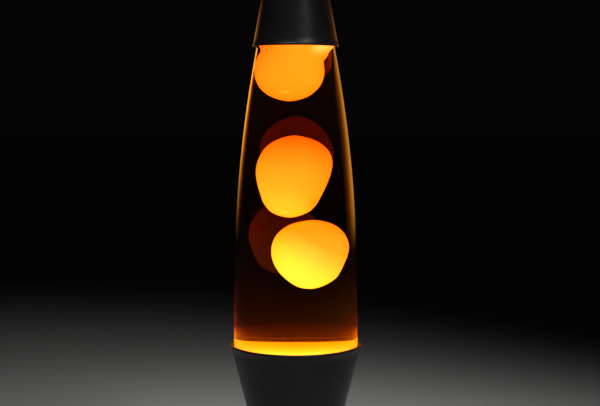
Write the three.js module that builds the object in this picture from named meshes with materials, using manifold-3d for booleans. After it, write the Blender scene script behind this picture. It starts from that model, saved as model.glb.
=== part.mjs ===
// Lava lamp: a spun metal base that holds a reflector bulb, a tapered glass globe
// with liquid and wax in it, and a loose metal cap over the globe's neck.
// Millimetres, +Z up. The origin is the centre of the plane that the feet rest on.

import * as THREE from 'three';
import { mergeVertices } from 'three/addons/utils/BufferGeometryUtils.js';
import Module from 'manifold-3d';

const wasm = await Module();
wasm.setup();

// ---- Driving dimensions ------------------------------------------------------

const GAP = 0.3; // clearance left between neighbouring pieces
const ROUND = 32; // facets round the large coaxial pieces
const SMALL_ROUND = 16; // facets round small turned pieces

// Globe: a nearly straight wall that bends inward on a large arc
const BASE_H = 140; // height of the base's rim
const CAP_RIM_Z = 354.5; // height of the cap's rim
const TOTAL_H = 404;
const GLOBE_R = 45; // outer radius where the globe leaves the base
const GLOBE_TAPER = 0.0137; // radius lost per millimetre of height
const BEND_Z = 195; // height where the inward bend starts
const BEND_R = 900; // radius of the bend
const GLASS = 3; // wall thickness of the bottle

// Bottle: seat cone in the base, shoulder and neck under the cap
const SEAT_TOP_Z = 137; // where the seat cone meets the wall
const SEAT_SLOPE = 0.25; // radius lost per millimetre going down the seat
const BOTTLE_FLOOR_Z = 109;
const BOTTLE_CORNER_R = 5;
const FLOOR_GLASS = 4; // thickness of the bottle's floor
const SHOULDER_Z = 362; // where the wall turns into the shoulder
const NECK_R = 12.4;
const NECK_Z = 381; // where the shoulder has become the neck
const MOUTH_R = 9.2;
const LIP_R = 13.3; // the crown finish round the mouth
const LIP_H = 5;
const MOUTH_Z = 391.5;

// Contents of the bottle
const POOL_Z = 137.2; // surface of the wax pool
const LIQUID_TOP_Z = 364;
const WAX_SKIN = 1.7; // liquid left between the floating wax and the glass
const CHANNEL_R = 1; // passage that joins the hollows that the wax leaves in the liquid
const CHANNEL_X = -2;

const SPRING_RING_R = 27;
const SPRING_COIL_R = 3.2;
const SPRING_WIRE_R = 0.55;
const SPRING_TURNS = 18;

// Base: an hourglass of spun sheet
const SHEET = 1.2;
const FLARE_R = 59; // radius at the foot of the base
const FLARE_SLOPE = 0.36; // radius lost per millimetre going up the foot
const FLARE_Z = 5.5; // where the fold ends and the flare starts
const FLANGE_Z = 4.1; // underside of the turned-in flange
const FLANGE_INNER_R = 46;
const WAIST_LOW_Z = 63;
const WAIST_HIGH_Z = 98;
const BEAD_R = 1.1; // rolled edge of the base
const SCREW_CIRCLE_R = 51.5;
const HOLE_R = 1.9; // clearance holes for the small screws

const PLATE_R = 56;
const PLATE_Z = 2.8;
const PLATE_T = 1;
const FOOT_R = 6;
const FOOT_H = 2.5;
const FOOT_CIRCLE_R = 48;

// Cord passage at the back of the base
const GROMMET_Z = 19;
const GROMMET_NECK_R = 5.2;
const GROMMET_FLANGE_R = 7.6;
const GROMMET_FLANGE_T = 1.4;
const GROMMET_GROOVE = 3;
const CORD_HOLE_R = 3.6;

// Lamp holder
const BRACKET_HALF = 16.5; // outer half-width of the U bracket
const BRACKET_T = 1.2;
const BRACKET_W = 14;
const BRACKET_TOP_Z = 46;
const BRACKET_SCREW_Z = 38;
const BOLT_R = 3;
const BOLT_HEAD_R = 6;
const BOLT_HEAD_H = 1.9;
const BOLT_TOP_Z = 10.5;
const NUT_CORNER_R = 5.8;
const NUT_H = 3;
const WASHER_R = 6.4;
const WASHER_T = 0.9;
const HOLDER_R = 14.6;
const HOLDER_Z = 24;
const HOLDER_TOP_Z = 50;
const HOLDER_FLOOR = 3;
const HOLDER_BORE_R = 8.05;
const TERMINAL_Z = 31;

// Bulb: a 39 mm reflector bulb with a small screw cap
const BULB_TIP_Z = 30;
const BULB_CAP_R = 6.95;
const BULB_CAP_Z = 33.5;
const BULB_CAP_TOP_Z = 50;
const BULB_R = 19.5;
const BULB_WIDE_Z = 86;
const BULB_TOP_Z = 96;

// Cap
const CAP_SHEET = 1;
const CAP_RIM_R = 30.55;
const CAP_SLOPE = 0.19; // radius lost per millimetre going up the cap
const CAP_BEAD_R = 0.9;
const CAP_CORNER_R = 6;

// ---- Helpers -------------------------------------------------------------------

const v2 = (r, z) => new THREE.Vector2(r, z);

// A geometry with its shared vertices merged, as a manifold-3d solid.
function toSolid(geometry) {
  const bare = geometry.clone();
  bare.deleteAttribute('normal');
  bare.deleteAttribute('uv');
  const merged = mergeVertices(bare, 1e-4);
  const solid = new wasm.Manifold(new wasm.Mesh({
    numProp: 3,
    vertProperties: new Float32Array(merged.attributes.position.array),
    triVerts: new Uint32Array(merged.index.array),
  }));
  return solid;
}

// A manifold-3d solid as a geometry again.
function toGeometry(solid) {
  const mesh = solid.getMesh();
  const geometry = new THREE.BufferGeometry();
  geometry.setAttribute('position', new THREE.BufferAttribute(mesh.vertProperties, 3));
  geometry.setIndex(new THREE.BufferAttribute(mesh.triVerts, 1));
  geometry.computeVertexNormals();
  return geometry;
}

function join(...geometries) {
  const [first, ...others] = geometries.map(toSolid);
  return toGeometry(others.reduce((whole, piece) => whole.add(piece), first));
}

function cut(geometry, ...tools) {
  return toGeometry(tools.map(toSolid).reduce((whole, tool) => whole.subtract(tool), toSolid(geometry)));
}

// Reverses every triangle of a geometry.
function turnInsideOut(geometry) {
  const index = geometry.index.array;
  for (let i = 0; i < index.length; i += 3) {
    [index[i + 1], index[i + 2]] = [index[i + 2], index[i + 1]];
  }
  geometry.computeVertexNormals();
  return geometry;
}

// A solid of revolution about +Z from (radius, height) points. The outline starts and ends
// on the axis, or is a ring that closes on itself when its ends are off the axis.
function turned(points, segments = ROUND) {
  const first = points[0];
  const last = points[points.length - 1];
  const onAxis = first.x === 0 && last.x === 0;
  const outline = onAxis ? [...points] : [...points, first.clone()];
  const geometry = new THREE.LatheGeometry(outline, segments);
  geometry.rotateX(Math.PI / 2);
  const clockwise = THREE.ShapeUtils.area(points) < 0;
  return clockwise ? turnInsideOut(geometry) : geometry;
}

// A plain cylinder along +Z, from one height to another.
function rod(radius, low, high, segments = SMALL_ROUND) {
  return turned([v2(0, low), v2(radius, low), v2(radius, high), v2(0, high)], segments);
}

// A tube along +Z.
function pipe(inner, outer, low, high, segments = SMALL_ROUND) {
  return turned([v2(inner, low), v2(outer, low), v2(outer, high), v2(inner, high)], segments);
}

// Turns a piece made along +Z so that it lies along a horizontal direction.
function laidAlong(geometry, azimuth) {
  geometry.rotateY(Math.PI / 2);
  return geometry.rotateZ(azimuth);
}

// Points of a quadratic curve, without its first point.
function bend(from, control, to, steps) {
  return new THREE.QuadraticBezierCurve(from, control, to).getPoints(steps).slice(1);
}

// The line beside a line of points, a fixed distance to its left.
function beside(points, distance) {
  return points.map((point, i) => {
    const before = points[Math.max(i - 1, 0)];
    const after = points[Math.min(i + 1, points.length - 1)];
    const arriving = (i > 0 ? point.clone().sub(before) : after.clone().sub(point)).normalize();
    const leaving = (after !== point ? after.clone().sub(point) : arriving.clone()).normalize();
    const normal = v2(-arriving.y - leaving.y, arriving.x + leaving.x).normalize();
    const stretch = normal.dot(v2(-arriving.y, arriving.x));
    return point.clone().addScaledVector(normal, distance / stretch);
  });
}

// Sheet metal of even thickness, from the line of its outer face.
function sheet(outerLine, thickness) {
  return [...outerLine, ...beside(outerLine, thickness).reverse()];
}

// A rolled bead: a ring of round section about +Z.
function bead(ringRadius, height, radius) {
  const geometry = new THREE.TorusGeometry(ringRadius, radius, 6, ROUND);
  return geometry.translate(0, 0, height);
}

// Evenly spaced heights, both ends included.
function steps(low, high, count) {
  return Array.from({ length: count + 1 }, (_, i) => low + ((high - low) * i) / count);
}

function polar(radius, azimuth) {
  return [radius * Math.cos(azimuth), radius * Math.sin(azimuth)];
}

function material(color, roughness, metalness, extra = {}) {
  return new THREE.MeshStandardMaterial({ color, roughness, metalness, ...extra });
}

// ---- Materials -----------------------------------------------------------------

const blackPaint = () => material(0x141414, 0.4, 0.6);
const darkSteel = () => material(0x4a4a4c, 0.45, 0.9);
const brightSteel = () => material(0xb4b6b8, 0.35, 1);
const rubber = () => material(0x1b1b1b, 0.9, 0);
const phenolic = () => material(0x201c1a, 0.5, 0);
const brass = () => material(0xb8923c, 0.35, 1);
const clearGlass = () => material(0xe8eeee, 0.05, 0, { transparent: true, opacity: 0.3 });
const lampGlass = () => material(0xdfe3e6, 0.1, 0, { transparent: true, opacity: 0.4 });
const liquidTint = () => material(0x3a0f02, 0.05, 0, { transparent: true, opacity: 0.6 });
const wax = (color) => material(color, 0.45, 0, { emissive: color, emissiveIntensity: 0.6 });

// ---- The group and its parts ---------------------------------------------------

const group = new THREE.Group();

function add(name, geometry, look) {
  const mesh = new THREE.Mesh(geometry, look);
  mesh.name = name;
  group.add(mesh);
  return mesh;
}

// ---- Globe: shared outlines ----------------------------------------------------

// Outer radius of the glass between the base's rim and the shoulder.
function globeRadius(z) {
  const above = Math.max(0, z - BEND_Z);
  return GLOBE_R - GLOBE_TAPER * (z - BASE_H) - above ** 2 / (2 * BEND_R);
}

// Outer radius of the seat cone that stands in the base.
function seatRadius(z) {
  return GLOBE_R - SEAT_SLOPE * (SEAT_TOP_Z - z);
}

// Inner radius of the bottle, all the way up to the shoulder.
function insideRadius(z) {
  return (z < SEAT_TOP_Z ? seatRadius(z) : globeRadius(z)) - GLASS;
}

// Heights of the outline's points: one straight stretch below the bend, then even steps.
function wallHeights() {
  return [SEAT_TOP_Z, ...steps(BEND_Z, SHOULDER_Z, 6)];
}

function bottle() {
  const floorZ = BOTTLE_FLOOR_Z + FLOOR_GLASS;
  const cornerTopZ = BOTTLE_FLOOR_Z + BOTTLE_CORNER_R;
  const cornerTop = v2(seatRadius(cornerTopZ), cornerTopZ);
  const cornerControl = v2(seatRadius(BOTTLE_FLOOR_Z), BOTTLE_FLOOR_Z);
  const floorEdge = v2(cornerControl.x - BOTTLE_CORNER_R, BOTTLE_FLOOR_Z);
  const wall = wallHeights();

  const shoulderEdge = v2(globeRadius(SHOULDER_Z), SHOULDER_Z);
  const shoulderTop = v2(20, 372.5);
  const neckStart = v2(NECK_R, NECK_Z);
  const outside = [
    v2(0, BOTTLE_FLOOR_Z),
    floorEdge,
    ...bend(floorEdge, cornerControl, cornerTop, 3),
    ...wall.map((z) => v2(globeRadius(z), z)),
    ...bend(shoulderEdge, v2(25.3, 369.5), shoulderTop, 4),
    ...bend(shoulderTop, v2(NECK_R, 376.5), neckStart, 4),
    v2(NECK_R, MOUTH_Z - LIP_H),
    v2(LIP_R, MOUTH_Z - LIP_H + 1),
    v2(LIP_R, MOUTH_Z - 1.5),
    v2(LIP_R - 1.5, MOUTH_Z),
  ];

  const innerEdge = v2(insideRadius(SHOULDER_Z), SHOULDER_Z);
  const innerTop = v2(16.5, 370);
  const innerNeck = v2(MOUTH_R, 379);
  const innerCorner = v2(insideRadius(floorZ), floorZ);
  const innerCornerTop = v2(insideRadius(floorZ + 3), floorZ + 3);
  const innerFloorEdge = v2(innerCorner.x - 3, floorZ);
  const inside = [
    v2(0, floorZ),
    innerFloorEdge,
    ...bend(innerFloorEdge, innerCorner, innerCornerTop, 2),
    ...wall.map((z) => v2(insideRadius(z), z)),
    ...bend(innerEdge, v2(22.4, 367.2), innerTop, 3),
    ...bend(innerTop, v2(MOUTH_R, 373.5), innerNeck, 3),
    v2(MOUTH_R, MOUTH_Z),
  ];
  return turned([...outside, ...inside.reverse()]);
}

// A drop of wax: two half ellipses that meet at its widest height. It leans, so that its
// middle line passes from topX down to bottomX. A positive growth makes it larger all round.
function drop({ radius, bottomZ, wideZ, topZ, topX, bottomX }, growth = 0) {
  const rows = 10;
  const outline = steps(-Math.PI / 2, Math.PI / 2, rows).map((angle, i) => {
    const reach = (angle < 0 ? wideZ - bottomZ : topZ - wideZ) + growth;
    const across = i === 0 || i === rows ? 0 : (radius + growth) * Math.cos(angle);
    return v2(across, wideZ + reach * Math.sin(angle));
  });
  const geometry = turned(outline, 20);
  const position = geometry.attributes.position;
  for (let i = 0; i < position.count; i += 1) {
    const share = (position.getZ(i) - bottomZ) / (topZ - bottomZ);
    position.setX(i, position.getX(i) + THREE.MathUtils.lerp(bottomX, topX, share));
  }
  return geometry;
}

const MIDDLE_DROP = { radius: 20.1, bottomZ: 232.5, wideZ: 267, topZ: 290.2, topX: 0.2, bottomX: -3.3 };
const LOWER_DROP = { radius: 20.6, bottomZ: 181.8, wideZ: 210, topZ: 230.3, topX: 8, bottomX: 7.6 };
const HANGING_DROP = { radius: 17.8, bottomZ: 314.6, wideZ: 332, topZ: 354, topX: -3.2, bottomX: -3.4 };
const FLOAT_LOW_Z = 347; // underside and top of the wax that floats across the whole width
const FLOAT_HIGH_Z = 360;
const FLOAT_EDGE = 2.5; // height of its rounded edge

function floatingWax(growth = 0) {
  const low = FLOAT_LOW_Z - growth;
  const high = FLOAT_HIGH_Z + growth;
  const radiusAt = (z) => insideRadius(z) - WAX_SKIN + growth;
  const lowEdge = v2(radiusAt(low) - FLOAT_EDGE, low);
  const highEdge = v2(radiusAt(high) - FLOAT_EDGE, high);
  const disc = turned([
    v2(0, low),
    lowEdge,
    ...bend(lowEdge, v2(radiusAt(low), low), v2(radiusAt(low + FLOAT_EDGE), low + FLOAT_EDGE), 2),
    v2(radiusAt(high - FLOAT_EDGE), high - FLOAT_EDGE),
    ...bend(v2(radiusAt(high - FLOAT_EDGE), high - FLOAT_EDGE), v2(radiusAt(high), high), highEdge, 2),
    v2(0, high),
  ]);
  return join(disc, drop(HANGING_DROP, growth));
}

function liquid() {
  const column = turned([
    v2(0, POOL_Z + GAP),
    ...[POOL_Z + GAP, ...wallHeights().slice(1)].map((z) => v2(insideRadius(z) - GAP, z)),
    v2(insideRadius(SHOULDER_Z) - 2, LIQUID_TOP_Z),
    v2(0, LIQUID_TOP_Z),
  ]);
  const channel = rod(CHANNEL_R, LOWER_DROP.topZ - 8, LIQUID_TOP_Z + 5, 8);
  channel.translate(CHANNEL_X, 0, 0);
  return cut(
    column,
    drop(MIDDLE_DROP, GAP),
    drop(LOWER_DROP, GAP),
    floatingWax(GAP),
    channel,
  );
}

// The wax pool fills the bottom of the bottle round the steel spring.
function waxPool() {
  const floorZ = BOTTLE_FLOOR_Z + FLOOR_GLASS + GAP;
  const corner = v2(insideRadius(floorZ) - GAP, floorZ);
  const floorEdge = v2(corner.x - 3.5, floorZ);
  const cornerTop = v2(insideRadius(floorZ + 3.5) - GAP, floorZ + 3.5);
  const pool = turned([
    v2(0, floorZ),
    floorEdge,
    ...bend(floorEdge, corner, cornerTop, 2),
    v2(insideRadius(POOL_Z) - GAP, POOL_Z),
    v2(0, POOL_Z),
  ]);
  const room = SPRING_COIL_R + SPRING_WIRE_R + GAP;
  const groove = pipe(SPRING_RING_R - room, SPRING_RING_R + room, floorZ - 1, floorZ + 2 * room, ROUND);
  return cut(pool, groove);
}

// A steel wire coil whose axis is bent into a ring, with a small space between its ends.
class RingCoil extends THREE.Curve {
  getPoint(t, target = new THREE.Vector3()) {
    const round = t * 2 * Math.PI * 0.97;
    const turn = t * 2 * Math.PI * SPRING_TURNS;
    const radius = SPRING_RING_R + SPRING_COIL_R * Math.cos(turn);
    const [x, y] = polar(radius, round);
    return target.set(x, y, SPRING_COIL_R * Math.sin(turn));
  }
}

function circleShape(radius, segments) {
  return new THREE.Shape(steps(0, 2 * Math.PI, segments).slice(0, -1).map((a) => v2(...polar(radius, a))));
}

function wire(path, radius, count, sides = 6) {
  return new THREE.ExtrudeGeometry(circleShape(radius, sides), { steps: count, extrudePath: path });
}

// A pressed crown cap over the bottle's lip, outer face first and inner face back again.
function crownCap() {
  const topZ = MOUTH_Z + 2;
  return turned([
    v2(0, topZ),
    v2(12.3, topZ),
    v2(13.9, topZ - 0.9),
    v2(15.2, topZ - 4),
    v2(16, topZ - 6.3),
    v2(15.5, topZ - 6.3),
    v2(14.7, topZ - 4),
    v2(13.4, topZ - 1.2),
    v2(12.1, topZ - 0.5),
    v2(0, topZ - 0.5),
  ], 20);
}

add('glass_bottle', bottle(), clearGlass());
add('liquid', liquid(), liquidTint());
add('wax_pool', waxPool(), wax(0xffd040));
add('wax_top', floatingWax(), wax(0xff9c14));
add('wax_blob_middle', drop(MIDDLE_DROP), wax(0xffa01a));
add('wax_blob_lower', drop(LOWER_DROP), wax(0xffd83c));

const springLift = BOTTLE_FLOOR_Z + FLOOR_GLASS + GAP + SPRING_COIL_R + SPRING_WIRE_R;
const spring = add(
  'coil_spring',
  wire(new RingCoil(), SPRING_WIRE_R, SPRING_TURNS * 6, 4),
  brightSteel(),
);
spring.position.z = springLift;

add('crown_cap', crownCap(), brightSteel());
add('crown_liner', rod(12.2, MOUTH_Z + GAP, MOUTH_Z + 1.1, 24), rubber());

// ---- Cap -----------------------------------------------------------------------

function topCap() {
  const rimZ = CAP_RIM_Z + CAP_BEAD_R;
  const radiusAt = (z) => CAP_RIM_R - CAP_SLOPE * (z - rimZ);
  const cornerLow = v2(radiusAt(TOTAL_H - CAP_CORNER_R), TOTAL_H - CAP_CORNER_R);
  const corner = v2(radiusAt(TOTAL_H), TOTAL_H);
  const flatEdge = v2(corner.x - CAP_CORNER_R, TOTAL_H);
  const outerLine = [
    v2(CAP_RIM_R, rimZ),
    cornerLow,
    ...bend(cornerLow, corner, flatEdge, 4),
    v2(0, TOTAL_H),
  ];
  const innerLine = beside(outerLine, CAP_SHEET);
  innerLine[innerLine.length - 1].x = 0;
  const shell = turned([...outerLine.reverse(), ...innerLine]);
  return join(shell, bead(CAP_RIM_R - CAP_SHEET / 2, rimZ, CAP_BEAD_R));
}

add('top_cap', topCap(), blackPaint());

// ---- Base ----------------------------------------------------------------------

// Outer radius of the sheet where it follows the bottle's seat cone.
function seatSheetRadius(z) {
  return seatRadius(z) + (GAP + SHEET) * Math.hypot(1, SEAT_SLOPE) + 0.08;
}

function flareRadius(z) {
  return FLARE_R - FLARE_SLOPE * (z - FLARE_Z);
}

// The grommet stands square to the flare.
const FLARE_TILT = Math.atan(FLARE_SLOPE);

function inFlare(geometry) {
  geometry.rotateX(-Math.PI / 2 + FLARE_TILT);
  const middle = flareRadius(GROMMET_Z) - SHEET / 2;
  return geometry.translate(0, middle, GROMMET_Z);
}

function baseShell() {
  // The two straight flanks would cross here, so this point controls the waist's curve.
  const crossZ = (FLARE_R + FLARE_SLOPE * FLARE_Z - seatSheetRadius(0)) / (SEAT_SLOPE + FLARE_SLOPE);
  const waistLow = v2(flareRadius(WAIST_LOW_Z), WAIST_LOW_Z);
  const waistHigh = v2(seatSheetRadius(WAIST_HIGH_Z), WAIST_HIGH_Z);
  const foldStart = v2(FLARE_R - (FLARE_Z - FLANGE_Z), FLANGE_Z);
  const foldEnd = v2(FLARE_R, FLARE_Z);
  const beadZ = BASE_H - BEAD_R;
  const outerLine = [
    v2(FLANGE_INNER_R, FLANGE_Z),
    foldStart,
    ...bend(foldStart, v2(FLARE_R, FLANGE_Z), foldEnd, 3),
    waistLow,
    ...bend(waistLow, v2(flareRadius(crossZ), crossZ), waistHigh, 6),
    v2(seatSheetRadius(beadZ), beadZ),
  ];
  const body = turned(sheet(outerLine, SHEET));
  const beadRing = bead(seatSheetRadius(beadZ) - SHEET / 2 + 0.3, beadZ, BEAD_R);
  const screwHoles = steps(0, 1.5 * Math.PI, 3).map((azimuth) => {
    const hole = rod(HOLE_R, FLANGE_Z - 1, FLANGE_Z + SHEET + 1, 12);
    return hole.translate(...polar(SCREW_CIRCLE_R, azimuth), 0);
  });
  const cordHole = inFlare(rod(GROMMET_NECK_R + GAP, -6, 6));
  return cut(join(body, beadRing), ...screwHoles, cordHole);
}

function cordGrommet() {
  const half = GROMMET_GROOVE / 2;
  const end = half + GROMMET_FLANGE_T;
  const body = inFlare(turned([
    v2(0, -end),
    v2(GROMMET_FLANGE_R, -end),
    v2(GROMMET_FLANGE_R, -half),
    v2(GROMMET_NECK_R, -half),
    v2(GROMMET_NECK_R, half),
    v2(GROMMET_FLANGE_R, half),
    v2(GROMMET_FLANGE_R - 0.8, end),
    v2(0, end),
  ], 20));
  const bore = laidAlong(rod(CORD_HOLE_R, 40, 70), Math.PI / 2);
  return cut(body, bore.translate(0, 0, GROMMET_Z));
}

function roundHole(x, y, radius, segments = 12) {
  return new THREE.Path(steps(0, 2 * Math.PI, segments).slice(0, -1).map((angle) => {
    const [dx, dy] = polar(radius, angle);
    return v2(x + dx, y + dy);
  }));
}

function bottomPlate() {
  const outline = circleShape(PLATE_R, ROUND);
  outline.holes.push(roundHole(0, 0, BOLT_R + GAP));
  const vents = 10;
  for (let i = 0; i < vents; i += 1) {
    const [x, y] = polar(31, (2 * Math.PI * i) / vents);
    outline.holes.push(roundHole(x, y, 3, 10));
  }
  for (let i = 0; i < 4; i += 1) {
    const [x, y] = polar(SCREW_CIRCLE_R, (Math.PI / 2) * i);
    outline.holes.push(roundHole(x, y, HOLE_R, 12));
  }
  const plate = new THREE.ExtrudeGeometry(outline, { depth: PLATE_T, bevelEnabled: false });
  return plate.translate(0, 0, PLATE_Z);
}

// A pan-headed screw, head at the origin's side and shank along +Z.
function screw(headRadius, headHeight, shankRadius, shankLength) {
  return turned([
    v2(0, -headHeight),
    v2(headRadius * 0.7, -headHeight),
    v2(headRadius, -headHeight * 0.55),
    v2(headRadius, 0),
    v2(shankRadius, 0),
    v2(shankRadius, shankLength - shankRadius),
    v2(0, shankLength),
  ], 12);
}

function hexNut(low) {
  const corners = steps(0, 2 * Math.PI, 6).slice(0, -1).map((angle) => v2(...polar(NUT_CORNER_R, angle)));
  const outline = new THREE.Shape(corners);
  outline.holes.push(roundHole(0, 0, BOLT_R + GAP));
  const nut = new THREE.ExtrudeGeometry(outline, { depth: NUT_H, bevelEnabled: false });
  return nut.translate(0, 0, low);
}

add('base_shell', baseShell(), blackPaint());
add('bottom_plate', bottomPlate(), darkSteel());
add('cord_grommet', cordGrommet(), rubber());

for (let i = 0; i < 4; i += 1) {
  const edge = 0.8;
  const foot = turned([
    v2(0, 0),
    v2(FOOT_R - edge, 0),
    v2(FOOT_R, edge),
    v2(FOOT_R, FOOT_H),
    v2(0, FOOT_H),
  ], SMALL_ROUND);
  const [x, y] = polar(FOOT_CIRCLE_R, Math.PI / 4 + (Math.PI / 2) * i);
  add(`rubber_foot_${i + 1}`, foot, rubber()).position.set(x, y, 0);

  const fixing = add(`bottom_screw_${i + 1}`, screw(3.2, 1.8, 1.5, 7), brightSteel());
  fixing.position.set(...polar(SCREW_CIRCLE_R, (Math.PI / 2) * i), PLATE_Z - GAP);
}

// ---- Lamp holder ---------------------------------------------------------------

const plateTop = PLATE_Z + PLATE_T;
const bracketZ = plateTop + GAP;

function socketBracket() {
  const outerLine = [
    v2(-BRACKET_HALF, BRACKET_TOP_Z),
    v2(-BRACKET_HALF, bracketZ + 2),
    v2(-BRACKET_HALF + 2, bracketZ),
    v2(BRACKET_HALF - 2, bracketZ),
    v2(BRACKET_HALF, bracketZ + 2),
    v2(BRACKET_HALF, BRACKET_TOP_Z),
  ];
  const strap = new THREE.ExtrudeGeometry(
    new THREE.Shape(sheet(outerLine, BRACKET_T)),
    { depth: BRACKET_W, bevelEnabled: false },
  );
  strap.translate(0, 0, -BRACKET_W / 2);
  strap.rotateX(Math.PI / 2);
  const boltHole = rod(BOLT_R + GAP, bracketZ - 1, bracketZ + BRACKET_T + 1, 12);
  const screwHoles = laidAlong(rod(HOLE_R, -BRACKET_HALF - 5, BRACKET_HALF + 5, 12), 0);
  return cut(strap, boltHole, screwHoles.translate(0, 0, BRACKET_SCREW_Z));
}

function socketHousing() {
  const body = turned([
    v2(0, HOLDER_Z),
    v2(HOLDER_R - 2, HOLDER_Z),
    v2(HOLDER_R, HOLDER_Z + 2),
    v2(HOLDER_R, HOLDER_TOP_Z),
    v2(HOLDER_BORE_R, HOLDER_TOP_Z),
    v2(HOLDER_BORE_R, HOLDER_Z + HOLDER_FLOOR),
    v2(0, HOLDER_Z + HOLDER_FLOOR),
  ], 24);
  const pockets = [0, 1, 2, 3].map((quarter) => {
    const pocket = laidAlong(rod(HOLE_R, 10.4, HOLDER_R + 2, 12), (Math.PI / 2) * quarter);
    return pocket.translate(0, 0, quarter % 2 === 0 ? BRACKET_SCREW_Z : TERMINAL_Z);
  });
  return cut(body, ...pockets);
}

// A springy brass arch on the holder's floor, under the bulb's tip.
function centerContact() {
  const leaf = 0.4;
  const low = HOLDER_Z + HOLDER_FLOOR + GAP + leaf;
  const high = BULB_TIP_Z - GAP;
  const topLine = [v2(6, low), v2(4, low), v2(2.2, high), v2(-2.2, high), v2(-4, low), v2(-6, low)];
  const arch = new THREE.ExtrudeGeometry(
    new THREE.Shape(sheet(topLine, leaf)),
    { depth: 4, bevelEnabled: false },
  );
  arch.translate(0, 0, -2);
  return arch.rotateX(Math.PI / 2);
}

const washerLow = bracketZ + BRACKET_T + GAP;
const nutLow = washerLow + WASHER_T + GAP;
const boltSeat = PLATE_Z - GAP;
add('socket_bracket', socketBracket(), darkSteel());
add('mounting_bolt', screw(BOLT_HEAD_R, BOLT_HEAD_H, BOLT_R, BOLT_TOP_Z - boltSeat), brightSteel())
  .position.z = boltSeat;
add('mounting_washer', pipe(BOLT_R + GAP, WASHER_R, washerLow, washerLow + WASHER_T), brightSteel());
add('mounting_nut', hexNut(nutLow), brightSteel());
add('socket_housing', socketHousing(), phenolic());
add('socket_screw_shell', pipe(7.3, 7.7, 30.5, 49, 24), brass());
add('socket_center_contact', centerContact(), brass());

for (const [i, azimuth] of [0, Math.PI].entries()) {
  const side = screw(2.8, 1.6, 1.5, BRACKET_HALF + GAP - 11);
  side.rotateY(Math.PI);
  side.translate(0, 0, BRACKET_HALF + GAP);
  add(`bracket_screw_${i + 1}`, laidAlong(side, azimuth), brightSteel()).position.z = BRACKET_SCREW_Z;

  const terminal = screw(2.8, 1.5, 1.4, HOLDER_R + GAP - 11);
  terminal.rotateY(Math.PI);
  terminal.translate(0, 0, HOLDER_R + GAP);
  add(`terminal_screw_${i + 1}`, laidAlong(terminal, azimuth + Math.PI / 2), brass()).position.z = TERMINAL_Z;
}

// ---- Bulb ----------------------------------------------------------------------

function bulbEnvelope() {
  const seal = v2(6.1, 43);
  const neck = v2(6.1, BULB_CAP_TOP_Z + 1);
  const wide = v2(BULB_R, BULB_WIDE_Z);
  const outerLine = [
    seal,
    neck,
    ...bend(neck, v2(BULB_R, 66), wide, 5),
    ...bend(wide, v2(BULB_R, BULB_TOP_Z), v2(0, BULB_TOP_Z), 5),
  ];
  const innerLine = beside(outerLine, 0.9);
  innerLine[innerLine.length - 1].x = 0;
  return turned([...outerLine.reverse(), ...innerLine], 20);
}

function bulbScrewCap() {
  const wall = 0.4;
  return turned([
    v2(3.2, BULB_CAP_Z),
    v2(BULB_CAP_R - 0.8, BULB_CAP_Z),
    v2(BULB_CAP_R, BULB_CAP_Z + 1),
    v2(BULB_CAP_R, BULB_CAP_TOP_Z),
    v2(BULB_CAP_R - wall, BULB_CAP_TOP_Z),
    v2(BULB_CAP_R - wall, BULB_CAP_Z + 1 + wall),
    v2(3.2, BULB_CAP_Z + wall),
  ], 20);
}

function bulbStem() {
  return turned([v2(0, 44), v2(4.6, 44), v2(2.6, 50), v2(2.4, 66), v2(1.4, 69), v2(0, 69.5)], 12);
}

const insulatorTop = BULB_CAP_Z - GAP;
add('bulb_envelope', bulbEnvelope(), lampGlass());
add('bulb_screw_cap', bulbScrewCap(), brightSteel());
add(
  'bulb_insulator',
  turned([v2(2.6, 31), v2(4.4, 31), v2(6, insulatorTop), v2(2.6, insulatorTop)], SMALL_ROUND),
  phenolic(),
);
add(
  'bulb_contact_tip',
  turned([v2(0, BULB_TIP_Z), v2(1.6, BULB_TIP_Z), v2(2.3, 30.7), v2(2.3, 32.6), v2(0, 32.6)], SMALL_ROUND),
  brightSteel(),
);
add('bulb_stem', bulbStem(), lampGlass());

for (const [i, side] of [-1, 1].entries()) {
  const path = new THREE.CatmullRomCurve3([
    new THREE.Vector3(side * 3.3, 0, 52),
    new THREE.Vector3(side * 3.3, 0, 68),
    new THREE.Vector3(side * 5, 0, 74),
    new THREE.Vector3(side * 7, 0, 78),
  ]);
  add(`bulb_lead_${i + 1}`, wire(path, 0.35, 8), brightSteel());
}

const filamentPath = new THREE.QuadraticBezierCurve3(
  new THREE.Vector3(-6.6, 0, 79),
  new THREE.Vector3(0, 0, 83),
  new THREE.Vector3(6.6, 0, 79),
);
add('bulb_filament', wire(filamentPath, 0.4, 8), darkSteel());

export default group;
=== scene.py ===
"""The looks of a lava lamp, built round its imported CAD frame.

Sizes are in millimetres and become metres where a mesh is made; only the camera, floor and
lights are placed in metres. The frame gives the places, and the outlines below repeat the CAD
model's shapes with finer surfaces.
"""

import math

import bmesh
import bpy
import numpy as np
from mathutils import Matrix, Vector


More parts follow.
